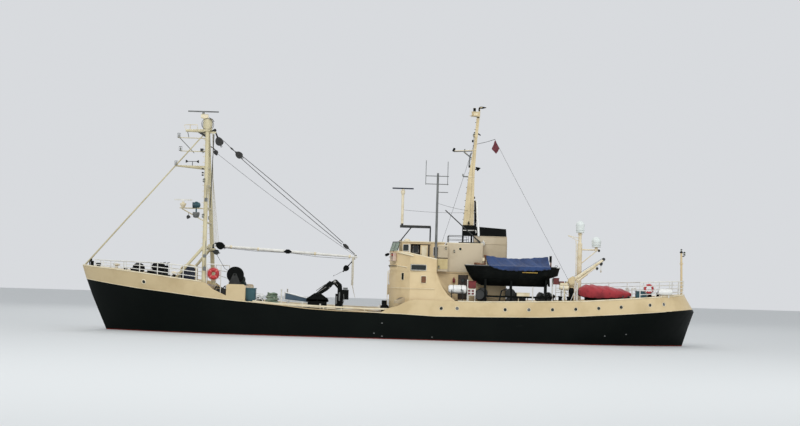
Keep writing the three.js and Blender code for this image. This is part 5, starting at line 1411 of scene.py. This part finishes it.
mast_lamps.turned(both_ends((0.046, 0.06), (0.040, 0.075)), (-2.49, 0, 7.665), (-0.45, 0, 1), 16)
mast_lamps.tube([(-3.475, 0, 9.26), (-3.472, 0, 9.36), (-3.50, 0, 9.415)], 0.034, 10)
mast_lamps.turned([(0.054, 0), (0.060, 0.02), (0.060, 0.045), (0.054, 0.06), (0.050, 0.10), (0.060, 0.13),
                   (0.050, 0.17)], (-3.282, 0, 9.21), UP, 16)
mast_lamps.loft([[(x, y, 9.418 + dz)
                  for y, dz in ((-0.02, -w), (0.02, -w), (0.02, w * 0.6), (-0.02, w * 0.6))]
                 for x, w in ((-3.50, 0.05), (-3.60, 0.055), (-3.70, 0.03), (-3.75, 0.012))])
mast_lamps.tube([(-3.16, 0.125, 9.06), (-3.34, 0.125, 9.025), (-3.48, 0.12, 8.99)], 0.016, 6)
mast_lamps.piece("aft_mast_lamps", black)
sleeves = Shape()
sleeves.rods([((-2.50, 0, 7.600), (-3.235, 0, 7.640)), ((-2.90, 0, 7.585), (-3.20, 0, 7.365)),
              ((-2.88, 0, 6.597), (-3.11, 0, 6.590))], 0.026, 10)
sleeves.tube([(-3.20, 0.04, 7.55), (-3.145, 0.05, 7.42), (-3.12, 0.06, 7.02)], 0.030, 10)
sleeves.piece("aft_mast_sleeves", grey)
mast_lenses.piece("aft_mast_lenses", lens)
head_plates = Shape()
head_plates.box((-3.33, 0, 9.225), (0.34, 0.26, 0.018))
head_plates.box((-3.33, 0, 9.045), (0.36, 0.28, 0.018))
head_plates.box((-3.33, 0.125, 9.135), (0.16, 0.012, 0.10))
for z in (8.94, 7.68, 6.58):
    fore, aft, half = on_mast(z, 1), on_mast(z, 2), on_mast(z, 3)
    head_plates.box((0.5 * (fore + aft), 0, z), (abs(aft - fore) + 0.03, 2 * half + 0.03, 0.03))
head_plates.piece("aft_mast_plates", cream_pale, bevel=0.004)
stays = Shape()
STAYS = [
    ((-3.30, 0.05, 5.14), (-0.50, 0.0, 5.17), 0.05), ((-3.20, 0.08, 5.20), (-1.86, 1.30, 5.42), 0.03),
    ((-4.13, 0.03, 8.13), (-7.60, 0.14, 1.90), 0.0), ((-3.40, -0.42, 8.25), (-1.95, -1.9, 3.25), 0.05),
]
for one, two, sag in STAYS:
    stays.tube([Vector(one).lerp(Vector(two), t) - Vector((0, 0, sag * math.sin(math.pi * t)))
                for t in steps(0, 1, 20)], 0.0055, 5)
stays.tube([(-3.40, 0.0, 7.92), (-3.80, 0.02, 8.02), (-4.15, 0.03, 8.14)], 0.010, 6)
stays.rods([((-3.29, s * 0.40, 8.24), (-3.20, s * 0.28, 4.64)) for s in (1, -1)], 0.0045, 5)
stays.piece("mast_stays", rope)
RADAR_X = -0.48
radar_trim = Shape()
radar_trim.turned([(0.053, 0), (0.053, 1.17), (0.064, 1.18), (0.080, 1.23), (0.094, 1.31), (0.094, 1.328)],
                  (RADAR_X, 0, 4.62), UP, 22)
radar_trim.rods([((x, -0.21, 4.56), (x, 0.21, 4.56)) for x in steps(-0.45, -1.60, 8)], 0.008)
radar_trim.piece("radar_pole_sleeve", cream_pale)
radar_hub = Shape().turned([(0.020, 0.006), (0.059, 0.006), (0.056, 0.030), (0.044, 0.058)],
                           (RADAR_X, 0, 5.95), UP, 22)
radar_hub.piece("bridge_scanner_hub", cream_pale, "bridge_scanner")

# Soft covers, laid as one sheet over what they cover
def sheet_mesh(name, rows, material, thick=0.006):
    """A grid of points made into one cloth with a little thickness."""
    mesh = bpy.data.meshes.new(name)
    across = len(rows[0])
    points = [tuple(point) for row in rows for point in row]
    faces = [(i * across + j, i * across + j + 1, (i + 1) * across + j + 1, (i + 1) * across + j)
             for i in range(len(rows) - 1) for j in range(across - 1)]
    mesh.from_pydata(points, [], faces)
    for face in mesh.polygons:
        face.use_smooth = True
    mesh.materials.append(material)
    made = put_in_scene(name, mesh)
    smooth = made.modifiers.new("smooth", "SUBSURF")
    smooth.levels = smooth.render_levels = 1
    solid = made.modifiers.new("thickness", "SOLIDIFY")
    solid.thickness = thick
    solid.offset = 0
    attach(made, SHIP)
    return made


def wave(x, *parts):
    """A sum of sines: each part is an amount, a length and a shift."""
    return sum(amount * math.sin(2 * math.pi * x / length + shift) for amount, length, shift in parts)


# Workboat: gunwale, wood, cover, fittings
BOAT_Y, BOAT_RIM = 1.50, 2.97


def boat_side(x, z):
    """The place and normal of the boat's port side."""
    return skin(x, z, nodes=("workboat",))


def boat_half(x):
    """Half the boat's width at its rim."""
    met = boat_side(x, BOAT_RIM)
    return met[0].y - BOAT_Y if met else 0.02


def mirrored(point):
    """The same place on the boat's other side."""
    return Vector((point.x, 2 * BOAT_Y - point.y, point.z))


gunwale, strakes = Shape(), Shape()
port_edge = [Vector((x, BOAT_Y + boat_half(x), 2.990)) for x in steps(-3.03, -6.755, 34)]
star_edge = [mirrored(point) for point in port_edge]
for edge_line in (port_edge, star_edge):
    strakes.tube([point + Vector((0, 0, -0.035)) for point in edge_line], 0.020, 8)
    for part in ([p for p in edge_line if p.x > -4.0], [p for p in edge_line if p.x < -6.36]):
        gunwale.tube([point + Vector((0, 0, 0.012)) for point in part], 0.017, 8)
gunwale.tube([port_edge[-1], (-6.765, BOAT_Y, 3.000), star_edge[-1]], 0.020, 8)
for drop in (0.16, 0.31, 0.46):
    strake = [boat_side(x, 2.99 - drop) for x in steps(-3.10 - drop * 0.6, -6.62, 26)]
    strakes.tube([met[0] + Vector((0, 0.003, 0)) for met in strake if met], 0.007, 6)
gunwale.piece("workboat_gunwale", grey)
strakes.piece("workboat_strakes", black)
foredeck = Shape()
deck_rows = []
for x in steps(-3.06, -3.95, 9):
    half = max(boat_half(x) - 0.01, 0.012)
    outline = ((-half, 2.985), (half, 2.985), (half * 0.9, 3.015), (0, 3.035), (-half * 0.9, 3.015))
    deck_rows.append([(x, BOAT_Y + dy, z) for dy, z in outline])
foredeck.loft(deck_rows)
foredeck.box((-6.62, BOAT_Y, 2.995), (0.22, 0.62, 0.03))
foredeck.piece("workboat_foredeck", moulding)
boat_wood = Shape()
boat_wood.box((-3.80, BOAT_Y, 3.20), (0.07, 0.10, 0.38))
boat_wood.box((-3.80, BOAT_Y, 3.40), (0.10, 0.30, 0.04))
boat_wood.box((-3.63, BOAT_Y, 3.055), (0.34, 0.46, 0.05))
boat_wood.box((-3.43, BOAT_Y, 3.065), (0.12, 0.24, 0.06))
boat_wood.tube([(-3.60, BOAT_Y + 0.2, 3.08), (-3.48, BOAT_Y + 0.22, 3.10), (-3.36, BOAT_Y + 0.18, 3.09)],
               0.015, 6)
boat_wood.box((-6.41, BOAT_Y, 3.12), (0.05, 0.09, 0.24))
boat_wood.piece("workboat_wood", wood, bevel=0.006)
stern_gear = Shape()
stern_gear.box((-6.395, BOAT_Y, 3.325), (0.085, 0.16, 0.25))
tiller = ((-6.55, 0.24, 3.0), (-6.57, 0.24, 3.07), (-6.66, 0.20, 3.07), (-6.68, 0.20, 3.0))
stern_gear.tube([(x, BOAT_Y + dy, z) for x, dy, z in tiller], 0.010, 8)
stern_gear.slab([(-0.04, 0.0), (0.05, 0.02), (0.05, 0.44), (-0.01, 0.46)], 0.035,
                upright((-6.36, BOAT_Y, 2.23)))
stern_gear.turned([(0.02, -0.01), (0.055, -0.005), (0.055, 0.008), (0.02, 0.012)], (-6.30, BOAT_Y, 2.38),
                  (1, 0.2, 0), 14)
stern_gear.piece("workboat_stern_gear", black, bevel=0.005)
dash = Shape()
outer = [boat_side(x, 2.765)[0] + Vector((0, 0.008, 0)) for x in steps(-5.254, -5.853, 9)]
for plate_line in (outer, [mirrored(point) for point in outer]):
    dash.tube(plate_line, 0.015, 6)
dash.piece("workboat_side_plates", yellow)
keel = Shape()
KEEL = ((-3.005, 3.02), (-3.125, 2.77), (-3.255, 2.55), (-3.395, 2.385), (-3.68, 2.245), (-4.1, 2.235),
        (-6.28, 2.240))
keel.tube([(x, BOAT_Y, z) for x, z in KEEL], 0.024, 8)
keel.piece("workboat_keel", black)

RIDGE = [(-6.40, 3.36), (-6.29, 3.425), (-5.9, 3.385), (-5.5, 3.345), (-4.97, 3.312), (-4.4, 3.345),
         (-4.0, 3.395), (-3.84, 3.42), (-3.80, 3.415)]
HEM = [(-6.40, 2.915), (-6.0, 2.855), (-5.5, 2.825), (-4.955, 2.812), (-4.5, 2.83), (-4.25, 2.875),
       (-3.97, 2.985)]
cover_rows = []
EDGE, TURN_IN = 0.78, 0.82
for u in steps(0, 1, 58):
    row = []
    for v in steps(-1, 1, 41):
        away = abs(v)
        x = (-6.29 - 0.085 * away) * (1 - u) + (-3.82 - 0.15 * away) * u
        half = boat_half(x) + 0.035
        ridge, hem = line_at(RIDGE, x), line_at(HEM, x)
        if away < TURN_IN:
            y = half * (1.0 - (1.0 - away) ** 1.25)
        else:
            y = half * (1.0 - 0.18 ** 1.25 + (away - TURN_IN) * 0.08)
        if away < EDGE:
            z = ridge + (3.01 - ridge) * min(1.0, (away / EDGE) ** 0.92)
        else:
            z = 3.01 + (hem - 3.01) * (away - EDGE) / 0.22
        if away > 0.76:
            y = max(y, half)
        fold = wave(x + 0.5 * away, (0.010, 0.42, 0.3), (0.007, 0.23, 1.1), (0.004, 0.11, 2.0))
        fold *= min(1.0, 0.25 + 6 * u * (1 - u))
        belly = -0.030 * math.sin(math.pi * min(1.0, away / EDGE)) * (1 + 0.5 * wave(x, (1, 0.9, 0.4)))
        lift = 0.012 * wave(x, (1, 0.31, 0.2), (0.6, 0.17, 1.4)) * away ** 3
        out = y + (0.6 * fold if away < 0.7 else 0.2 * abs(fold)) * away
        row.append((x, BOAT_Y + math.copysign(out, v), z + belly + fold * (1 - away) + lift))
    cover_rows.append(row)
cover = sheet_mesh("workboat_sheet", cover_rows, blue_cloth)
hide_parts("workboat_cover")
lacing = Shape()
for i in range(2, len(cover_rows) - 2, 4):
    for j, side in ((0, -1), (-1, 1)):
        edge_point = Vector(cover_rows[i][j])
        lacing.ring(edge_point + Vector((0, side * 0.006, 0.02)), ACROSS, 0.010, 0.003, 12, 5)
for j, side in ((-1, 1), (0, -1)):
    lacing.tube([Vector(row[j]) + Vector((0, side * 0.008, 0.004 + 0.012 * (k % 2)))
                 for k, row in enumerate(cover_rows)], 0.006, 5)
lacing.piece("workboat_lacing", rope)

# Life rafts: moulded canisters with bands on dark cradles
RAFT_X, RAFT_Y = -2.723, 1.90
BANDS = (-0.24, -0.08, 0.08, 0.24)
for name, side in SIDES:
    centre = Vector((RAFT_X, side * RAFT_Y, 2.04))
    shell = Shape()
    profile = []
    for h in steps(-0.359, 0.359, 49):
        end = max(0.0, (abs(h) - 0.29) / 0.069)
        raised = 0.008 if any(abs(h - band) < 0.022 for band in BANDS) else 0.0
        profile.append((0.160 * math.sqrt(max(0.0, 1 - end ** 2 * 0.55)) + raised, h))
    shell.turned(profile, centre, AHEAD, 36)
    shell.box(centre + Vector((0, side * 0.160, -0.005)), (0.66, 0.018, 0.030))
    shell.box(centre - Vector((0, side * 0.160, 0.005)), (0.66, 0.018, 0.030))
    canister = shell.piece("raft_canister_" + name, moulding, bevel=0.003)
    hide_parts("life_raft_" + name)
    straps = Shape()
    for dx in (-0.16, 0.16):
        straps.ring(centre + Vector((dx, 0, 0)), AHEAD, 0.168, 0.006, 36, 6)
    straps.turned([(0.03, 0), (0.03, 0.03), (0.02, 0.035)], centre + Vector((-0.16, side * 0.165, -0.03)),
                  (0, side, 0), 12)
    straps.piece("raft_straps_" + name, dark)
    cradle_frame = Shape()
    foot = top(RAFT_X, side * RAFT_Y, "poop")
    for dx in (-0.22, 0.22):
        bow_line = ((-0.19, -0.03), (-0.15, -0.14), (0, -0.19), (0.15, -0.14), (0.19, -0.03))
        cradle_frame.tube([centre + Vector((dx, dy, dz)) for dy, dz in bow_line], 0.014, 8)
        for dy in (-0.13, 0.13):
            cradle_frame.rods([(centre + Vector((dx, dy, -0.16)),
                                (centre.x + dx, centre.y + dy, foot - 0.005))], 0.013)
    for dy in (-0.13, 0.13):
        y = centre.y + dy
        cradle_frame.rods([((centre.x - 0.24, y, z), (centre.x + 0.24, y, z))
                           for z in (foot + 0.07, centre.z - 0.17)], 0.012)
    cradle_frame.piece("raft_cradle_" + name, dark)

# Covered inflatable: a grey collar tube, its floor and the red sheet that is tied over it
INF_Y = 0.85
collar = Shape()
HALF_TUBE = [(-9.60, 0.36, 1.90), (-8.9, 0.38, 1.90), (-8.2, 0.37, 1.92), (-7.9, 0.28, 1.96),
             (-7.74, 0.13, 2.0)]
port_tube = [(x, INF_Y + dy, z) for x, dy, z in HALF_TUBE]
tube_path = port_tube + [(-7.66, INF_Y, 2.02)] + [(x, 2 * INF_Y - y, z) for x, y, z in port_tube[::-1]]
collar.tube(tube_path, [0.05] + [0.115] * (len(tube_path) - 2) + [0.05], 16)
collar.loft([[(x, INF_Y + dy, z)
              for dy, z in ((-half, 1.86), (half, 1.86), (half * 0.3, 1.74), (-half * 0.3, 1.74))]
             for x, half in ((-9.50, 0.34), (-8.2, 0.34), (-7.85, 0.16))])
collar.piece("inflatable_collar", rubber)
chocks = Shape()
for x in (-7.95, -8.6, -9.3):
    deck = top(x, INF_Y, "poop")
    chocks.box((x, INF_Y, (deck + 1.76) / 2), (0.06, 0.72, max(0.03, 1.77 - deck)))
chocks.piece("inflatable_chocks", wood, bevel=0.004)
INF_TOP = [(-9.68, 2.06), (-9.55, 2.14), (-9.2, 2.245), (-8.9, 2.30), (-8.55, 2.335), (-8.3, 2.365),
           (-8.05, 2.345), (-7.9, 2.375), (-7.75, 2.33), (-7.62, 2.24), (-7.575, 2.12)]
INF_HEM = [(-9.68, 1.97), (-9.5, 1.91), (-8.9, 1.865), (-8.3, 1.84), (-7.8, 1.87), (-7.575, 1.96)]
INF_HALF = [(-9.68, 0.42), (-9.45, 0.52), (-8.9, 0.545), (-8.2, 0.54), (-7.9, 0.46), (-7.70, 0.31),
            (-7.575, 0.16)]
red_rows = []
for x in steps(-9.675, -7.58, 54):
    crest, hem, half = line_at(INF_TOP, x), line_at(INF_HEM, x), line_at(INF_HALF, x)
    row = []
    for v in steps(-1, 1, 37):
        away = abs(v)
        arc = min(1.0, away / 0.80)
        y = half * math.sin(arc * math.pi / 2)
        if away < 0.80:
            z = hem + 0.10 + (crest - hem - 0.10) * math.cos(arc * math.pi / 2) ** 0.8
        else:
            z = hem + 0.10 - 0.10 * (away - 0.80) / 0.20
        lump = wave(x, (0.022, 0.63, 0.5), (0.012, 0.29, 1.9)) * (1 - arc)
        lump += wave(x + 0.7 * v, (0.010, 0.33, 0.0), (0.006, 0.15, 2.2))
        pleat = wave(x, (0.007, 0.27, 0.0), (0.005, 0.43, 1.0)) * away ** 4
        row.append((x, INF_Y + math.copysign(max(0.0, y - 0.02 * away ** 6) + pleat, v), z + lump))
    red_rows.append(row)
red_cover = sheet_mesh("inflatable_sheet", red_rows, red_cloth)
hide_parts("inflatable")

# Flag, hanging limp from its line
flag_rows = []
for u in steps(0, 1, 15):
    row = []
    for v in steps(0, 1, 19):
        fall_x = -4.152 + 0.134 * v - 0.181 * u - 0.010 * u * v
        flutter = 0.035 * math.sin(8 * u + 5 * v) * (0.2 + u * v)
        row.append((fall_x + 0.006 * math.sin(9 * v), 0.03 + flutter,
                    8.113 - 0.375 * v - 0.350 * u + 0.160 * u * v))
    flag_rows.append(row)
flag = sheet_mesh("flag", flag_rows, flag_cloth, 0.003)

# Aft deck: posts, boxes, vents and stores that stand round the boats
boxes = Shape()
boxes.box((-3.745, BOAT_Y + 0.05, 3.24), (0.08, 0.10, 0.13))
boxes.box((-5.33, 1.72, 1.895), (0.50, 0.26, 0.13))
boxes.box((-5.33, 1.72, 1.965), (0.54, 0.30, 0.02))
for dx in (-0.18, 0.18):
    boxes.rods([((-5.33 + dx, 1.72, 1.60), (-5.33 + dx, 1.72, 1.84))], 0.022)
boxes.turned([(0.10, -0.18), (0.10, 0.18)], (-6.94, 1.62, 2.22), (1, 0, 0.12), 20)
boxes.turned([(0.045, 0), (0.05, 0.42)], (-6.98, 1.62, 1.70), (0.1, 0, 1), 14)
boxes.box((-6.92, 1.62, 2.36), (0.30, 0.16, 0.10), 0.2)
boxes.piece("poop_stores", cream_pale, bevel=0.006)
post_places = [(-5.69, 1.93, 1.62, 2.22), (-3.13, 1.80, 1.55, 2.42), (-6.90, 1.90, 1.66, 2.30),
               (-7.44, 1.88, 1.68, 2.42), (-9.62, 1.70, 1.82, 2.30)]
white_posts = Shape()
for x, y, low, high in post_places:
    tall = high - low
    white_posts.turned([(0.030, 0), (0.024, 0.02), (0.022, tall - 0.04), (0.030, tall - 0.03),
                        (0.018, tall)], (x, y, low), UP, 12)
white_posts.rods([((-7.44, 1.88, 2.28), (-7.20, 1.80, 1.72)), ((-6.90, 1.90, 2.10), (-6.55, 1.86, 2.12))],
                 0.013)
white_posts.rods([((-6.49, 1.55, 1.65), (-6.49, 1.55, 2.56)), ((-6.86, 1.40, 1.65), (-6.86, 1.40, 2.36)),
                  ((-6.49, 1.55, 2.42), (-6.60, 1.55, 2.42))], 0.026)
white_posts.piece("poop_posts", white)
teal_box = Shape()
teal_box.box((-10.02, 1.42, 2.02), (0.42, 0.34, 0.26))
teal_box.box((-10.02, 1.42, 2.16), (0.46, 0.38, 0.025))
teal_box.turned([(0.10, 0), (0.11, 0.02), (0.11, 0.16), (0.04, 0.22)], (-9.98, 0.95, 1.95), UP, 18)
teal_box.piece("stern_box", teal, bevel=0.006)
red_box = Shape()
red_box.box((-6.63, 1.55, 2.455), (0.22, 0.24, 0.24))
red_box.box((-6.63, 1.55, 2.585), (0.25, 0.27, 0.02))
red_box.box((-6.86, 1.40, 2.40), (0.20, 0.20, 0.13))
red_box.box((-3.31, 1.70, 2.22), (0.29, 0.24, 0.27))
red_box.box((-3.31, 1.70, 2.365), (0.32, 0.27, 0.02))
red_box.piece("fire_boxes", dark_red, bevel=0.005)
CABINET_X, CABINET_Y = -3.30, 1.70
cabinet = Shape()
cabinet.box((CABINET_X, CABINET_Y, 1.93), (0.30, 0.24, 0.26))
for dx in (-0.13, 0.13):
    for dy in (-0.10, 0.10):
        cabinet.rods([((CABINET_X + dx, CABINET_Y + dy, 1.54), (CABINET_X + dx, CABINET_Y + dy, 2.10))],
                     0.016)
cabinet.piece("cabinet", white, bevel=0.004)
squares = Shape()
for dx in (-0.07, 0.07):
    for dz in (-0.055, 0.055):
        squares.box((-3.27 + dx, 1.825, 1.93 + dz), (0.09, 0.012, 0.07))
squares.piece("cabinet_doors", dark_red, bevel=0.002)
vents = Shape()
x, low, high = -9.86, 1.80, 2.30
SWAN_NECK = ((0.0, 0.10), (0.02, 0.03), (0.07, 0.01), (0.11, 0.05), (0.12, 0.11))
for y in (1.15, -1.15):
    vents.tube([(x, y, low)] + [(x + dx, y, high - dz) for dx, dz in SWAN_NECK], 0.035, 12)
    vents.turned([(0.06, 0), (0.06, 0.015), (0.045, 0.02)], (x, y, low), UP, 14)
vents.piece("poop_vents", white)
CAPSULE, CAPSULE_WAY = (-10.95, 1.55, 2.16), (1, 0.1, -0.03)
capsule = Shape()
capsule.turned(both_ends((0.125, 0.20), (0.10, 0.265), (0.05, 0.29), middle=0.130), CAPSULE, CAPSULE_WAY, 26)
capsule.ring(CAPSULE, CAPSULE_WAY, 0.134, 0.008, 26, 6)
capsule.rods([((CAPSULE[0] + dx, CAPSULE[1], 1.93), (CAPSULE[0] + dx, CAPSULE[1], 2.06))
              for dx in (-0.15, 0.15)], 0.018)
capsule.piece("poop_canister", moulding)
black_post = Shape()
black_post.turned([(0.085, 0), (0.08, 0.30), (0.105, 0.34), (0.105, 0.46), (0.07, 0.52)],
                  (-7.23, 1.70, 1.70), UP, 20)
black_post.piece("poop_vent_black", black)

# Under the boat: winch, wheels and machinery beside the deckhouse, all in dark steel; the dark is partly
# their paint, partly painted shade under the boat
machinery = Shape()
for x in (-3.75, -4.85):
    machinery.turned(both_ends((0.09, 0.12), (0.20, 0.14), (0.20, 0.18), (0.10, 0.20)),
                     (x, 1.22, 1.92), ACROSS, 22)
    machinery.box((x, 1.22, 1.66), (0.34, 0.50, 0.10))
    for dy in (-0.23, 0.23):
        machinery.slab([(-0.16, -0.28), (0.16, -0.28), (0.07, 0.08), (-0.07, 0.08)], 0.03,
                       upright((x, 1.22 + dy, 1.90)))
machinery.box((-5.22, 1.10, 1.80), (0.50, 0.40, 0.34))
machinery.tube([(-4.42, 1.30, 1.62), (-4.50, 1.32, 2.02), (-4.70, 1.30, 2.10), (-4.80, 1.22, 1.96)], 0.030,
               10)
machinery.turned(both_ends((0.19, 0.07), middle=0.22), (-3.62, 1.72, 1.84), (0.2, 1, 0.1), 26)
for k in range(14):
    at = (-5.92 - 0.045 * k, 1.42 + 0.10 * math.sin(2.4 * k), 1.76 + 0.14 * abs(math.sin(1.9 * k)))
    lump = [(0.03, -0.05), (0.11 + 0.03 * (k % 3), -0.03), (0.10 + 0.03 * (k % 2), 0.04), (0.02, 0.06)]
    machinery.turned(lump, at, (math.sin(k), math.cos(1.3 * k), 0.5), 12)
machinery.box((-6.22, 1.30, 1.74), (0.56, 0.34, 0.20))
machinery.piece("poop_machinery", dark, bevel=0.005)

# Aft crane: rope drum, blocks, strut and fall
AFT_DRUM = (-7.25, 1.345, 2.44)
crane_trim, crane_cream = Shape(), Shape()
crane_cream.turned(both_ends((0.055, 0.07), (0.10, 0.075), (0.10, 0.09)), AFT_DRUM, ACROSS, 20)
crane_cream.box((-7.29, 1.265, 2.36), (0.22, 0.03, 0.16))
crane_cream.slab([(-0.13, 0.0), (0.17, 0.0), (0.13, 0.16), (-0.05, 0.27), (-0.13, 0.22)], 0.02,
                 upright((-7.27, 1.275, 2.42)))
crane_cream.box((-7.10, 1.16, 2.36), (0.10, 0.20, 0.20))
crane_cream.tube([(-7.06, 1.24, 2.42), (-7.0, 1.28, 2.20), (-7.03, 1.28, 2.02), (-7.12, 1.24, 1.95)], 0.016,
                 8)
crane_trim.ring((-7.29, 1.15, 2.30), UP, 0.122, 0.012, 28, 6)
crane_trim.turned([(0.052, -0.065), (0.052, 0.065)], AFT_DRUM, ACROSS, 16)
crane_trim.box((-7.05, 1.16, 2.42), (0.05, 0.12, 0.10))
crane_cream.piece("aft_crane_head", cream_mast, "aft_crane_column", 0.003)
crane_trim.piece("aft_crane_winch", dark, "aft_crane_column", 0.003)
AFT_HEEL, AFT_TIP = Vector((-7.24, 1.15, 2.45)), Vector((-8.537, 1.15, 3.371))
boom_gear, boom_ram = Shape(), Shape()
along = (AFT_TIP - AFT_HEEL).normalized()
under = ACROSS.cross(along).normalized()
under = under if under.z < 0 else -under
boom_gear.turned(both_ends((0.062, 0.045), (0.036, 0.05)), AFT_TIP + Vector((0, 0, 0.02)), ACROSS, 18)
block_shape(boom_gear, AFT_TIP + Vector((0.10, 0, -0.16)), UP, 0.13, 0.03)
block_shape(boom_gear, AFT_HEEL + along * 1.18 + under * 0.14, UP, 0.10, 0.03)
boom_gear.tube([AFT_HEEL + along * 0.16 + Vector((0, 0, 0.13)), AFT_TIP + Vector((0.02, 0, 0.075))], 0.006,
               5)
boom_gear.piece("aft_crane_gear", dark, "aft_crane_boom")
for share in (0.22, 0.50, 0.78):
    boom_ram.ring(AFT_HEEL + (AFT_TIP - AFT_HEEL) * share, along, 0.070 - 0.014 * share, 0.012, 22, 6)
ram_foot, ram_head = AFT_HEEL + along * 0.26 + under * 0.125, AFT_HEEL + along * 1.12 + under * 0.075
boom_ram.tube([ram_foot, ram_foot.lerp(ram_head, 0.55)], 0.046, 14)
boom_ram.tube([ram_foot.lerp(ram_head, 0.5), ram_head], 0.028, 12)
for share in (0.02, 0.54):
    boom_ram.ring(ram_foot.lerp(ram_head, share), along, 0.048, 0.010, 20, 6)
boom_ram.slab([(-0.05, -0.05), (0.05, -0.05), (0.04, 0.06), (-0.04, 0.06)], 0.05, upright(ram_head))
boom_ram.slab([(-0.05, -0.05), (0.06, -0.04), (0.05, 0.08), (-0.04, 0.08)], 0.05, upright(ram_foot))
boom_ram.piece("aft_crane_ram", cream_pale, "aft_crane_boom", 0.003)
aft_fall = Shape()
aft_fall.tube([AFT_TIP + Vector((0.10, 0, -0.22)), AFT_TIP + Vector((0.10, 0, -0.42))], 0.010, 8)
aft_fall.turned([(0.02, 0), (0.035, 0.03), (0.02, 0.09)], AFT_TIP + Vector((0.10, 0, -0.51)), UP, 12)
aft_fall.piece("aft_crane_fall", fibre, "aft_crane_boom")

# Domes: foot rings and seams; pillar: flanges and rungs; stern mast: lamps
dome_trim = Shape()
for x, z, r, tall in ((-7.69, 4.455, 0.178, 0.482), (-8.357, 3.885, 0.196, 0.418)):
    dome_trim.ring((x, 0, z + 0.095), UP, r * 0.998, 0.006, 36, 6)
    dome_trim.ring((x, 0, z + 0.015), UP, r * 0.93, 0.010, 36, 6)
    dome_trim.turned([(0.012, 0), (0.012, 0.02), (0.004, 0.03)], (x, 0, z + tall - 0.003), UP, 10)
dome_trim.piece("dome_seams", dome_white)
PILLAR_X = -7.69
pillar_trim = Shape()
deck = top(PILLAR_X, 0.2, "poop")
pillar_trim.turned([(0.20, 0), (0.20, 0.02), (0.135, 0.03), (0.104, 0.12)], (PILLAR_X, 0, deck), UP, 28)
for turn in full_turn(8):
    pillar_trim.turned([(0.014, 0), (0.014, 0.016)],
                       (PILLAR_X + 0.17 * math.cos(turn), 0.17 * math.sin(turn), deck + 0.02), UP, 6)
for z, r in ((4.40, 0.068), (4.36, 0.066)):
    pillar_trim.turned([(r, 0), (r + 0.026, 0.008), (r + 0.026, 0.022), (r, 0.028)],
                       (PILLAR_X, 0, z), UP, 24)
pillar_trim.tube([(-7.52, 0.04, 4.16), (-7.545, 0.04, 3.95), (-7.55, 0.05, 3.2), (-7.56, 0.06, 2.2),
                  (-7.56, 0.06, deck)], 0.016, 8)
for z in steps(2.1, 3.7, 7):
    pillar_trim.rods([((-7.552, 0.045, z), (-7.62, 0.02, z))], 0.010)
pillar_trim.box((-8.34, 0, 3.79), (0.06, 0.16, 0.10))
pillar_trim.piece("pillar_trim", cream_pale)
arm_lamp = Shape()
arm_lamp.turned([(0.02, 0), (0.045, 0.02), (0.045, 0.08), (0.02, 0.10)], (-8.47, 0, 3.70), UP, 14)
arm_lamp.rods([((-8.47, 0, 3.79), (-8.40, 0, 3.80))], 0.012)
arm_lamp.piece("pillar_lamp", black)
STERN_MAST_X = -11.80
stern_lamps, stern_lenses = Shape(), Shape()
lamp(stern_lamps, stern_lenses, (STERN_MAST_X, 0, 3.80), 0.8)
lamp(stern_lamps, stern_lenses, (-11.925, 0, 3.66), 1.0)
stern_lamps.rods([((-11.81, 0, 3.62), (-11.93, 0, 3.62))], 0.016)
stern_lamps.turned([(0.052, 0), (0.062, 0.01), (0.062, 0.05), (0.052, 0.06)],
                   (STERN_MAST_X, 0, 3.75), UP, 16)
stern_lamps.piece("stern_lamps", black)
stern_lenses.piece("stern_lenses", lens)
